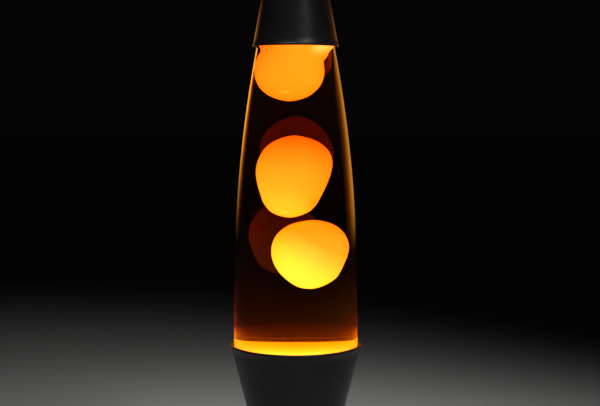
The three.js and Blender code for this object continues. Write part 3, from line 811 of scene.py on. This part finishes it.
def make_pool(material):
    """The wax pool fills the bottle's bottom; its surface curves up a little at the glass."""
    shrink = 0.3
    floor = BOTTLE_LOW + FLOOR_GLASS + shrink
    wall = [p for p in inside_line(shrink) if p[1] < POOL_TOP - 0.5]
    rim_r = inside_radius(POOL_TOP) - shrink
    dip = 0.35
    surface = [(rim_r, POOL_TOP)]
    surface += [(rim_r - d, POOL_TOP - dip * (1 - math.exp(-d / 1.5))) for d in (0.4, 1, 2, 3.5, 6)]
    surface += [(r, POOL_TOP - dip + 0.2 * (1 - (r / rim_r) ** 2)) for r in (30, 20, 10)]
    outline = [*wall, *surface, (0, POOL_TOP - dip + 0.2)]
    turned("pool", outline, [material], "globe", "wax_pool", segments=96)


# ---- Base and cap --------------------------------------------------------------

def seat_sheet_radius(z):
    """The base's outer radius above its waist, where its sheet runs beside the bottle's seat."""
    return seat_radius(z) + (SEAT_GAP + SHEET) * math.hypot(1, SEAT_SLOPE) + 0.08


def flare_radius(z):
    """The base's outer radius below its waist."""
    return FLARE_R - FLARE_SLOPE * (z - FLARE_Z)


def grommet_height():
    """Height of the cord grommet's middle."""
    return (low_z("cord_grommet") + high_z("cord_grommet")) / 2


def grommet_place():
    """Stands a piece square to the flare at the back, where the grommet sits."""
    z = grommet_height()
    tilt = math.degrees(math.atan(FLARE_SLOPE))
    return shift(0, flare_radius(z) - SHEET / 2, z) @ spun(-90 + tilt, "X")


def make_base_shell(paint, bare):
    """A spun sheet shell, painted outside and left bare inside, with a rolled rim."""
    cross = (FLARE_R + FLARE_SLOPE * FLARE_Z - seat_sheet_radius(0)) / (SEAT_SLOPE + FLARE_SLOPE)
    waist_low = (flare_radius(WAIST_LOW_Z), WAIST_LOW_Z)
    waist_high = (seat_sheet_radius(WAIST_HIGH_Z), WAIST_HIGH_Z)
    fold_start = (FLARE_R - (FLARE_Z - FLANGE_Z), FLANGE_Z)
    fold_end = (FLARE_R, FLARE_Z)
    bead_z = BASE_TOP + RIM_LIFT - BEAD_R
    neck_z = bead_z - 1.6
    outer = [
        (FLANGE_INNER_R, FLANGE_Z), *curve(fold_start, (FLARE_R, FLANGE_Z), fold_end, 8),
        *[(flare_radius(z), z) for z in np.linspace(FLARE_Z + 6, WAIST_LOW_Z, 10)],
        *bend(waist_low, (flare_radius(cross), cross), waist_high, 28),
        *[(seat_sheet_radius(z), z) for z in np.linspace(WAIST_HIGH_Z + 5, neck_z, 8)],
    ]
    inner = beside(outer, SHEET)
    bead_centre = (seat_sheet_radius(bead_z) - SHEET / 2 + 0.3, bead_z)
    bead_line = arc(bead_centre, BEAD_R, -60, 225, 24)
    outline = [*outer, *bead_line, *inner[::-1]]
    bare_from = len(outer) + int(0.7 * len(bead_line))
    shell = turned(
        "base_shell_spun", outline, [paint, bare], "base", "base_shell",
        pick=lambda row: 1 if row >= bare_from else 0,
    )

    hole = rod_cutter(5.5, -6, 6)
    hole.matrix_world = grommet_place()
    cut(shell, [hole, *hole_ring(4, SCREW_CIRCLE_R, HOLE_R, FLANGE_Z - 1, FLANGE_Z + SHEET + 1, 24)])
    sharpen(shell, 40)


def make_top_cap(paint):
    """The loose cap: one spun sheet with a rolled rim and a flat top."""
    rim_z = CAP_LOW + CAP_BEAD_R

    def radius(z):
        return CAP_RIM_R - CAP_SLOPE * (z - rim_z)

    corner_low = (radius(CAP_HIGH - CAP_CORNER_R), CAP_HIGH - CAP_CORNER_R)
    corner = (radius(CAP_HIGH), CAP_HIGH)
    flat_edge = (corner[0] - CAP_CORNER_R, CAP_HIGH)
    outer = [
        *[(radius(z), z) for z in np.linspace(rim_z + 1.2, CAP_HIGH - CAP_CORNER_R, 12)],
        *bend(corner_low, corner, flat_edge, 16),
        (0, CAP_HIGH),
    ]
    inner = beside(outer, CAP_SHEET)
    inner[-1] = (0, inner[-1][1])
    bead = arc((CAP_RIM_R - CAP_SHEET / 2, rim_z), CAP_BEAD_R, 135, 405, 22)
    outline = [*outer[::-1], *bead[::-1], *inner]
    cap = turned("top_cap_spun", outline, [paint], "cap", "top_cap")
    sharpen(cap, 50)


# ---- Base fittings -------------------------------------------------------------

PLATE_R = 56.0
PLATE_LOW = low_z("bottom_plate")
PLATE_HIGH = high_z("bottom_plate")
VENT_CIRCLE_R = 31.0
VENT_R = 3.0
FOOT_R = 6.0
FOOT_TOP = high_z("rubber_foot_1")
FOOT_CIRCLE_R = 48.0
HOLE_R = 1.9
BOLT_R = 3.0
GAP = 0.3


def rounded(points, radius, steps=4):
    """A line of points with its inner corners rounded off."""
    made = [points[0]]
    for before, here, after in zip(points, points[1:], points[2:]):
        before, here, after = Vector(before), Vector(here), Vector(after)
        reach = min(radius, (here - before).length / 2.1, (after - here).length / 2.1)
        start = here + (before - here).normalized() * reach
        end = here + (after - here).normalized() * reach
        made += [tuple(start), *bend(start, here, end, steps)]
    made.append(points[-1])
    return made


def moved(piece, *matrices):
    """Moves a piece's mesh; the matrices are applied from the last to the first."""
    whole = Matrix.Identity(4)
    for matrix in matrices:
        whole = whole @ matrix
    piece.data.transform(whole)


def shift(x, y, z):
    """A move, in millimetres."""
    return Matrix.Translation(Vector((x, y, z)) * MM)


def spun(degrees, axis="Z"):
    """A turn about an axis."""
    return Matrix.Rotation(math.radians(degrees), 4, axis)


def prism(name, outline, low, high, materials, body, node):
    """An outline of (x, y) points raised from one height to another."""
    count = len(outline)
    vertices = [(x, y, low) for x, y in outline] + [(x, y, high) for x, y in outline]
    faces = [tuple(range(count))[::-1], tuple(range(count, 2 * count))]
    faces += [(i, (i + 1) % count, count + (i + 1) % count, count + i) for i in range(count)]
    piece = add_piece(name, vertices, faces, materials, body, node)
    mesh = bmesh.new()
    mesh.from_mesh(piece.data)
    bmesh.ops.recalc_face_normals(mesh, faces=mesh.faces)
    mesh.to_mesh(piece.data)
    mesh.free()
    return piece


def soften_edges(piece, width, segments):
    """Bevels the edges of a piece that turn by more than 60 degrees, and smooths what is left."""
    mesh = bmesh.new()
    mesh.from_mesh(piece.data)
    edges = [e for e in mesh.edges if len(e.link_faces) == 2 and e.calc_face_angle() > math.radians(60)]
    bmesh.ops.bevel(
        mesh, geom=edges, offset=width * MM, segments=segments, profile=0.5, affect="EDGES",
        clamp_overlap=True,
    )
    mesh.to_mesh(piece.data)
    mesh.free()
    piece.data.polygons.foreach_set("use_smooth", [True] * len(piece.data.polygons))
    sharpen(piece, 30)


def tube(name, path, radius, sides, material, body, node):
    """A round wire along a path of (x, y, z) points, with flat ends."""
    points = [Vector(p) for p in path]
    up = Vector((0, 0, 1))
    vertices = []
    normal = None
    for i, point in enumerate(points):
        before = points[max(i - 1, 0)]
        after = points[min(i + 1, len(points) - 1)]
        along = (after - before).normalized()
        if normal is None:
            guess = up if abs(along.dot(up)) < 0.9 else Vector((1, 0, 0))
            normal = along.cross(guess).normalized()
        normal = (normal - along * normal.dot(along)).normalized()
        other = along.cross(normal)
        for k in range(sides):
            turn = 2 * math.pi * k / sides
            vertices.append(point + radius * (normal * math.cos(turn) + other * math.sin(turn)))
    faces = [tuple(range(sides))[::-1], tuple(range(len(vertices) - sides, len(vertices)))]
    for i in range(len(points) - 1):
        for k in range(sides):
            j = (k + 1) % sides
            a, b = i * sides, (i + 1) * sides
            faces.append((a + k, a + j, b + j, b + k))
    add_piece(name, vertices, faces, [material], body, node)


def blade_cutter(low_reach, high_reach, width, low, high):
    """A flat blade that may narrow from its lower end to its upper one."""
    side = width / 2
    corners = []
    for z, reach in ((low, low_reach), (high, high_reach)):
        corners += [(-reach, -side, z), (reach, -side, z), (reach, side, z), (-reach, side, z)]
    faces = [(3, 2, 1, 0), (4, 5, 6, 7), (0, 1, 5, 4), (1, 2, 6, 5), (2, 3, 7, 6), (3, 0, 4, 7)]
    return cutter(corners, faces)


def cross_cutter(reach, width, low, high):
    """A Phillips recess: two crossed tapering blades."""
    blades = [blade_cutter(reach, reach * 0.45, width, low, high) for _ in range(2)]
    blades[1].data.transform(spun(90))
    return blades


def screw_outline(head_r, head_h, shank_r, length, pitch):
    """A domed head below the origin and a threaded shank above it."""
    outline = [
        (0, -head_h),
        *curve((head_r * 0.55, -head_h * 0.97), (head_r * 0.98, -head_h * 0.82), (head_r, -0.15), 7),
        (head_r - 0.12, 0), (shank_r - 0.1, 0),
    ]
    root = shank_r - 0.25
    z = 0.5
    while z < length - shank_r - pitch:
        outline += [
            (root, z), (shank_r, z + pitch * 0.45), (shank_r, z + pitch * 0.55), (root, z + pitch * 0.98),
        ]
        z += pitch
    outline += [(root, length - shank_r), (0, length)]
    return outline


def make_screw(name, size, recess, material, node, slot, *matrices):
    """A screw of the base. size is its head's radius and height, then its shank's radius,
    length and pitch; its recess is a cross or a slot."""
    head_r, head_h, shank_r, length, pitch = size
    outline = screw_outline(head_r, head_h, shank_r, length, pitch)
    piece = turned(name, outline, [material], "base", node, segments=28)
    if recess == "cross":
        cut(piece, cross_cutter(head_r * 0.62, head_r * 0.2, -head_h - 0.1, -head_h * 0.25))
    else:
        reach = head_r * 1.1
        cut(piece, [blade_cutter(reach, reach, head_r * 0.24, -head_h - 0.1, -head_h * 0.42)])
    sharpen(piece, 32)
    moved(piece, *matrices)


def polar(radius, degrees):
    """The x and y of a point on a circle."""
    return radius * math.cos(math.radians(degrees)), radius * math.sin(math.radians(degrees))


def make_bottom(steel, bright, rubber):
    """The steel plate under the base, with its vents, screws and feet."""
    outline = rounded([
        (BOLT_R + GAP, PLATE_LOW), (14, PLATE_LOW), (14.6, PLATE_LOW + 0.25), (22, PLATE_LOW + 0.25),
        (22.6, PLATE_LOW), (PLATE_R, PLATE_LOW), (PLATE_R, PLATE_HIGH), (22.4, PLATE_HIGH),
        (14.8, PLATE_HIGH), (BOLT_R + GAP, PLATE_HIGH),
    ], 0.35, 3)
    plate = turned("vented_plate", outline, [steel], "base", "bottom_plate", segments=96)
    vents = hole_ring(10, VENT_CIRCLE_R, VENT_R, PLATE_LOW - 1, PLATE_HIGH + 1, 28)
    screw_holes = hole_ring(4, SCREW_CIRCLE_R, HOLE_R, PLATE_LOW - 1, PLATE_HIGH + 1, 20)
    cut(plate, [*vents, *screw_holes])
    sharpen(plate, 32)
    foot_line = [
        (0, 0.7), *curve((1.7, 0.7), (2.1, 0.65), (2.2, 0.3), 4), (2.5, 0),
        *curve((4.9, 0), (5.75, 0.05), (5.85, 0.9), 6), (FOOT_R, 2.0), (5.9, FOOT_TOP), (0, FOOT_TOP),
    ]
    for i in range(4):
        x, y = polar(SCREW_CIRCLE_R, 90 * i)
        make_screw(
            f"plate_screw_{i + 1}", (3.2, 1.8, 1.5, 7.0, 0.7), "cross", bright,
            f"bottom_screw_{i + 1}", "bright_steel", shift(x, y, PLATE_LOW - GAP), spun(17 * i + 8),
        )
        x, y = polar(FOOT_CIRCLE_R, 45 + 90 * i)
        foot = turned(
            f"moulded_foot_{i + 1}", foot_line, [rubber], "base", f"rubber_foot_{i + 1}",
            segments=40,
        )
        sharpen(foot, 38)
        moved(foot, shift(x, y, 0))


def make_grommet(rubber):
    """A soft grooved bush square to the flare, bored level for the cord."""
    half, end, flange_r, neck_r = 1.5, 2.9, 7.6, 5.2
    outline = rounded([
        (0, -end), (flange_r, -end), (flange_r, -half), (neck_r, -half), (neck_r, half),
        (flange_r, half), (flange_r - 0.5, end), (0, end),
    ], 0.55, 4)
    grommet = turned("cord_bush", outline, [rubber], "base", "cord_grommet", segments=56)
    moved(grommet, grommet_place())
    bore = rod_cutter(3.6, 40, 70, 40)
    bore.matrix_world = shift(0, 0, grommet_height()) @ spun(-90, "X")
    cut(grommet, [bore])
    sharpen(grommet, 38)


# ---- Lamp holder ---------------------------------------------------------------

BRACKET_HALF = 16.5
BRACKET_T = 1.2
BRACKET_W = 14.0
BRACKET_LOW = low_z("socket_bracket")
BRACKET_TOP = high_z("socket_bracket")
BRACKET_SCREW_Z = 38.0
TERMINAL_Z = 31.0
HOLDER_LOW = low_z("socket_housing")
HOLDER_TOP = high_z("socket_housing")
HOLDER_R = 14.6
HOLDER_BORE_R = 8.05
THREAD_PITCH = 2.8


def threaded(radius_low, radius_high, low, high, pitch):
    """A wavy line up a rolled thread."""
    steps = int((high - low) / pitch * 8)
    middle, reach = (radius_low + radius_high) / 2, (radius_high - radius_low) / 2
    return [
        (middle + reach * math.sin(2 * math.pi * (z - low) / pitch), z)
        for z in np.linspace(low, high, steps)
    ]


def make_bracket(steel):
    """The U-shaped steel strap that carries the lamp holder."""
    outer = rounded([
        (-BRACKET_HALF, BRACKET_TOP), (-BRACKET_HALF, BRACKET_LOW),
        (BRACKET_HALF, BRACKET_LOW), (BRACKET_HALF, BRACKET_TOP),
    ], 2.4, 6)
    outline = [*outer, *beside(outer, BRACKET_T)[::-1]]
    strap = prism(
        "bent_strap", outline, -BRACKET_W / 2, BRACKET_W / 2, [steel], "base", "socket_bracket",
    )
    moved(strap, spun(90, "X"))
    bolt_hole = rod_cutter(BOLT_R + GAP, BRACKET_LOW - 1, BRACKET_LOW + BRACKET_T + 1, 32)
    screw_hole = rod_cutter(HOLE_R, -BRACKET_HALF - 5, BRACKET_HALF + 5, 24)
    screw_hole.matrix_world = shift(0, 0, BRACKET_SCREW_Z) @ spun(90, "Y")
    cut(strap, [bolt_hole, screw_hole])
    soften_edges(strap, 0.18, 2)


def make_bolt_and_nut(bright):
    """The bolt through the plate and the strap, with its washer and nut."""
    make_screw(
        "fixing_bolt", (6.0, 1.9, BOLT_R, high_z("mounting_bolt") - PLATE_LOW + GAP, 0.8), "cross", bright,
        "mounting_bolt", "bright_steel", shift(0, 0, PLATE_LOW - GAP), spun(20),
    )
    low, high = low_z("mounting_washer"), high_z("mounting_washer")
    ring = [(BOLT_R + GAP, low), (6.4, low), (6.4, high), (BOLT_R + GAP, high)]
    washer = turned(
        "plain_washer", rounded([*ring, ring[0]], 0.15, 2)[:-1], [bright], "base", "mounting_washer",
        segments=56,
    )
    sharpen(washer, 30)

    low, high = low_z("mounting_nut"), high_z("mounting_nut")
    hexagon = [polar(5.8, 60 * i) for i in range(6)]
    nut = prism("hex_nut", hexagon, low, high, [bright], "base", "mounting_nut")
    chamfer = [
        (5.35, low - 1), (7.2, low - 1), (7.2, high + 1), (5.35, high + 1), (5.1, high), (5.8, high - 0.45),
        (5.8, low + 0.45), (5.1, low),
    ]
    vertices, faces, _ = turned_mesh(chamfer, 60, True)
    hole = rod_cutter(BOLT_R + GAP, low - 1, high + 1, 32)
    cut(nut, [cutter(vertices, faces), hole])
    sharpen(nut, 25)


def make_holder(phenolic, brass, bright):
    """The moulded lamp holder with its threaded shell, spring contact and screws."""
    floor = HOLDER_LOW + 3
    low_round, top_round, groove = 2.6, 1.2, 0.4
    grooves = []
    for z in (34.6, 43.0):
        grooves += [
            (HOLDER_R, z), (HOLDER_R - groove, z + 0.4), (HOLDER_R - groove, z + 1.2), (HOLDER_R, z + 1.6),
        ]
    low_edge, low_side = (HOLDER_R - low_round, HOLDER_LOW), (HOLDER_R, HOLDER_LOW + low_round)
    top_side, top_edge = (HOLDER_R, HOLDER_TOP - top_round), (HOLDER_R - top_round, HOLDER_TOP)
    outline = [
        (0, HOLDER_LOW), *curve(low_edge, (HOLDER_R, HOLDER_LOW), low_side, 8), *grooves,
        *curve(top_side, (HOLDER_R, HOLDER_TOP), top_edge, 6),
        (HOLDER_BORE_R + 1.6, HOLDER_TOP), (HOLDER_BORE_R + 1.3, HOLDER_TOP - 0.35),
        (HOLDER_BORE_R + 0.6, HOLDER_TOP - 0.35), (HOLDER_BORE_R, HOLDER_TOP - 0.9),
        (HOLDER_BORE_R, floor + 0.5), (HOLDER_BORE_R - 0.5, floor), (0, floor),
    ]
    housing = turned(
        "moulded_holder", outline, [phenolic], "base", "socket_housing", segments=72,
    )
    pockets = []
    for quarter in range(4):
        pocket = rod_cutter(HOLE_R, 10.4, HOLDER_R + 2, 24)
        height = BRACKET_SCREW_Z if quarter % 2 == 0 else TERMINAL_Z
        pocket.matrix_world = shift(0, 0, height) @ spun(90 * quarter) @ spun(90, "Y")
        pockets.append(pocket)
    cut(housing, pockets)
    sharpen(housing, 32)

    low, high = low_z("socket_screw_shell"), high_z("socket_screw_shell")
    inner = threaded(7.15, 7.42, low, high, THREAD_PITCH)
    outer = [(r + 0.28, z) for r, z in inner]
    turned(
        "threaded_shell", [*outer, *inner[::-1]], [brass], "base", "socket_screw_shell",
        segments=64,
    )

    top = high_z("socket_center_contact")
    base = floor + GAP + 0.4
    line = rounded([(6, base), (4, base), (2.2, top), (-2.2, top), (-4, base), (-6, base)], 0.9, 5)
    leaf = prism(
        "spring_leaf", [*line, *beside(line, 0.4)[::-1]], -2, 2, [brass], "base",
        "socket_center_contact",
    )
    moved(leaf, spun(90, "X"))
    soften_edges(leaf, 0.07, 1)

    for i, azimuth in enumerate((0, 180)):
        make_screw(
            f"strap_screw_{i + 1}", (2.8, 1.6, 1.5, BRACKET_HALF + GAP - 11, 0.6), "cross", bright,
            f"bracket_screw_{i + 1}", "bright_steel",
            shift(0, 0, BRACKET_SCREW_Z), spun(azimuth), spun(90, "Y"), shift(0, 0, BRACKET_HALF + GAP),
            spun(180, "Y"),
        )
        make_screw(
            f"lead_screw_{i + 1}", (2.8, 1.5, 1.4, HOLDER_R + GAP - 11, 0.6), "slot", brass,
            f"terminal_screw_{i + 1}", "brass",
            shift(0, 0, TERMINAL_Z), spun(azimuth + 90), spun(90, "Y"), shift(0, 0, HOLDER_R + GAP),
            spun(180, "Y"), spun(25),
        )


# ---- Bulb ----------------------------------------------------------------------

BULB_R = 19.5
BULB_WIDE_Z = 86.0
BULB_TOP = high_z("bulb_envelope")
BULB_GLASS = 0.9
BULB_CAP_R = 6.95
BULB_CAP_LOW = low_z("bulb_screw_cap")
BULB_CAP_TOP = high_z("bulb_screw_cap")


def make_bulb(clear, mirror, frosted, bright, dark, phenolic):
    """The screw-in reflector bulb, from its glass to its filament."""
    make_envelope(clear, mirror, frosted)
    make_bulb_cap(bright, phenolic)
    make_mount(clear, bright, dark)


def make_envelope(clear, mirror, frosted):
    """The bulb's glass: silvered inside up to its widest point, frosted over the top."""
    seal, neck, wide = (6.1, 43.0), (6.1, BULB_CAP_TOP + 1), (BULB_R, BULB_WIDE_Z)
    outer = [
        seal, *curve(neck, (BULB_R, 66), wide, 30), *bend(wide, (BULB_R, BULB_TOP), (0, BULB_TOP), 30),
    ]
    inner = beside(outer, BULB_GLASS)
    inner[-1] = (0, inner[-1][1])
    outline = [*outer[::-1], *inner]
    outer_count = len(outer)
    frost_from = BULB_WIDE_Z - 4

    def pick(row):
        if outline[row][1] > frost_from:
            return 2
        return 0 if row < outer_count else 1

    turned(
        "reflector_bulb", outline, [clear, mirror, frosted], "bulb", "bulb_envelope",
        segments=96, pick=pick,
    )


def make_bulb_cap(bright, phenolic):
    """The bulb's threaded cap, its insulator and its contact."""
    wall, hole_r = 0.4, 3.2
    thread = threaded(6.55, BULB_CAP_R, 35.4, 46.6, THREAD_PITCH)
    cap_outer = [
        (hole_r, BULB_CAP_LOW), *curve((5.4, BULB_CAP_LOW), (6.5, BULB_CAP_LOW), (6.6, 34.8), 5),
        *thread, (6.75, 47.2), (6.75, BULB_CAP_TOP - 0.8), (BULB_CAP_R, BULB_CAP_TOP),
    ]
    cap_inner = [
        (BULB_CAP_R - wall, BULB_CAP_TOP), (6.35, BULB_CAP_TOP - 0.9), (6.35, 47.2), (6.15, 46.6),
        (6.15, 35.2), (5.2, BULB_CAP_LOW + wall), (hole_r, BULB_CAP_LOW + wall),
    ]
    cap = turned(
        "threaded_bulb_cap", [*cap_outer, *cap_inner], [bright], "bulb", "bulb_screw_cap",
        segments=72,
    )
    sharpen(cap, 40)

    low, high = 31, high_z("bulb_insulator")
    ring = rounded([(2.6, low), (4.4, low), (6, high), (2.6, high), (2.6, low)], 0.3, 3)[:-1]
    insulator = turned(
        "cap_insulator", ring, [phenolic], "bulb", "bulb_insulator", segments=48,
    )
    sharpen(insulator, 35)
    tip_low, tip_high = low_z("bulb_contact_tip"), high_z("bulb_contact_tip")
    tip_line = [
        *curve((0, tip_low), (2.3, tip_low), (2.3, tip_low + 1.2), 8), (2.3, tip_high), (0, tip_high),
    ]
    tip = turned("solder_tip", tip_line, [bright], "bulb", "bulb_contact_tip", segments=32)
    sharpen(tip, 40)


def make_mount(clear, bright, dark):
    """The glass stem inside the bulb, its two leads and the filament between them."""
    stem_line = [
        (0, 44), *curve((4.6, 44), (2.7, 46), (2.5, 54), 10), *curve((2.4, 65), (2.2, 69.5), (0, 69.5), 8),
    ]
    turned("glass_stem", stem_line, [clear], "bulb", "bulb_stem", segments=32)
    for i, side in enumerate((-1, 1)):
        x = side * 3.3
        path = [(x, 0, 52), *curve((x, 0, 60), (x, 0, 70), (side * 7.0, 0, 78), 12)]
        tube(f"lead_wire_{i + 1}", path, 0.35, 12, bright, "bulb", f"bulb_lead_{i + 1}")
    tube("wound_filament", filament_path(), 0.09, 8, dark, "bulb", "bulb_filament")


def filament_path():
    """A fine coil along a low arch between the two leads."""
    turns, per_turn, coil_r = 26, 12, 0.3
    points = []
    for i in range(turns * per_turn + 1):
        t = i / (turns * per_turn)
        x = -6.6 + 13.2 * t
        z = 79 + 8 * t * (1 - t)
        turn = 2 * math.pi * turns * t
        points.append((x, coil_r * math.cos(turn), z + coil_r * math.sin(turn)))
    return points


# ---- Bottle fittings -----------------------------------------------------------

def make_spring(bright):
    """A close coil of steel wire bent into a ring on the bottle's floor."""
    ring_r, coil_r, wire_r, turns, per_turn = 27.0, 3.2, 0.55, 46, 16
    centre_z = (low_z("coil_spring") + high_z("coil_spring")) / 2
    path = []
    for i in range(turns * per_turn + 1):
        t = i / (turns * per_turn)
        turn = 2 * math.pi * turns * t
        radius = ring_r + coil_r * math.cos(turn)
        x, y = polar(radius, 349 * t)
        path.append((x, y, centre_z + coil_r * math.sin(turn)))
    tube("wire_spring", path, wire_r, 8, bright, "globe", "coil_spring")


FLUTES = 21


def make_crown(bright, rubber):
    """A pressed crown cap with its 21 flutes, and the soft liner inside it."""
    top = high_z("crown_cap")
    depth = [(0, 0.0), (9.5, 0.0), (10.2, 0.25), (11.6, 0.25), (12.6, 0.35), (13.3, 0.95), (13.75, 1.9),
             (14.15, 3.0), (14.55, 4.2), (14.95, 5.3), (15.25, 6.3)]
    outer = [(r, top - d) for r, d in depth]
    inner = [(max(r - 0.38, 0), top - max(d, 0.45) - 0.02 if r < 12.5 else top - d) for r, d in depth]
    inner[0] = (0, top - 0.5)
    outline = [*outer, *inner[::-1]]
    segments = FLUTES * 12
    vertices, faces, _ = turned_mesh(outline, segments, False)
    fluted = []
    for x, y, z in vertices:
        r = math.hypot(x, y)
        drop = max(0.0, (top - z - 1.2) / 5.1)
        wave = 0.72 * drop * math.cos(FLUTES * math.atan2(y, x))
        scale = (r + wave) / r if r > 12 else 1.0
        fluted.append((x * scale, y * scale, z))
    crown = add_piece("fluted_crown", fluted, faces, [bright], "globe", "crown_cap")
    sharpen(crown, 60)

    low, high = low_z("crown_liner"), high_z("crown_liner")
    liner_line = rounded([(0, low), (12.2, low), (12.2, high), (0, high)], 0.3, 3)
    sharpen(turned("soft_liner", liner_line, [rubber], "globe", "crown_liner", segments=64), 35)


# ---- Put it together -----------------------------------------------------------

make_camera()
make_stage()

PAINT = black_paint()
BRIGHT = metal_material("bright_steel", (0.62, 0.62, 0.63), 0.28)
DARK = metal_material("dark_steel", (0.2, 0.2, 0.205), 0.4)
BARE = metal_material("bare_sheet", (0.11, 0.105, 0.1), 0.42)
BRASS = metal_material("brass", (0.72, 0.5, 0.2), 0.3)
RUBBER = plain_material("rubber", (0.012, 0.012, 0.012), (0.03, 0.03, 0.03), 0.75, 1200)
PHENOLIC = plain_material("phenolic", (0.02, 0.014, 0.01), (0.04, 0.03, 0.024), 0.4, 600)
OUTER_GLASS = glass_material("bottle_glass_outer", CROWN_GLASS)
WET_GLASS = glass_material("bottle_glass_wetted", CROWN_GLASS / WATER)
DRY_GLASS = glass_material("bottle_glass_inner", CROWN_GLASS)
LAMP_GLASS = glass_material("lamp_glass", CROWN_GLASS)
MIRROR = metal_material("bulb_mirror", (0.8, 0.8, 0.78), 0.12)
FROSTED = frosted_glass()

make_bottle(OUTER_GLASS, WET_GLASS, DRY_GLASS)
make_liquid(*liquid_materials())
make_wax()
make_spring(BRIGHT)
make_crown(BRIGHT, RUBBER)
make_top_cap(PAINT)
make_base_shell(PAINT, BARE)
make_bottom(DARK, BRIGHT, RUBBER)
make_grommet(RUBBER)
make_bracket(DARK)
make_bolt_and_nut(BRIGHT)
make_holder(PHENOLIC, BRASS, BRIGHT)
make_bulb(LAMP_GLASS, MIRROR, FROSTED, BRIGHT, DARK, PHENOLIC)
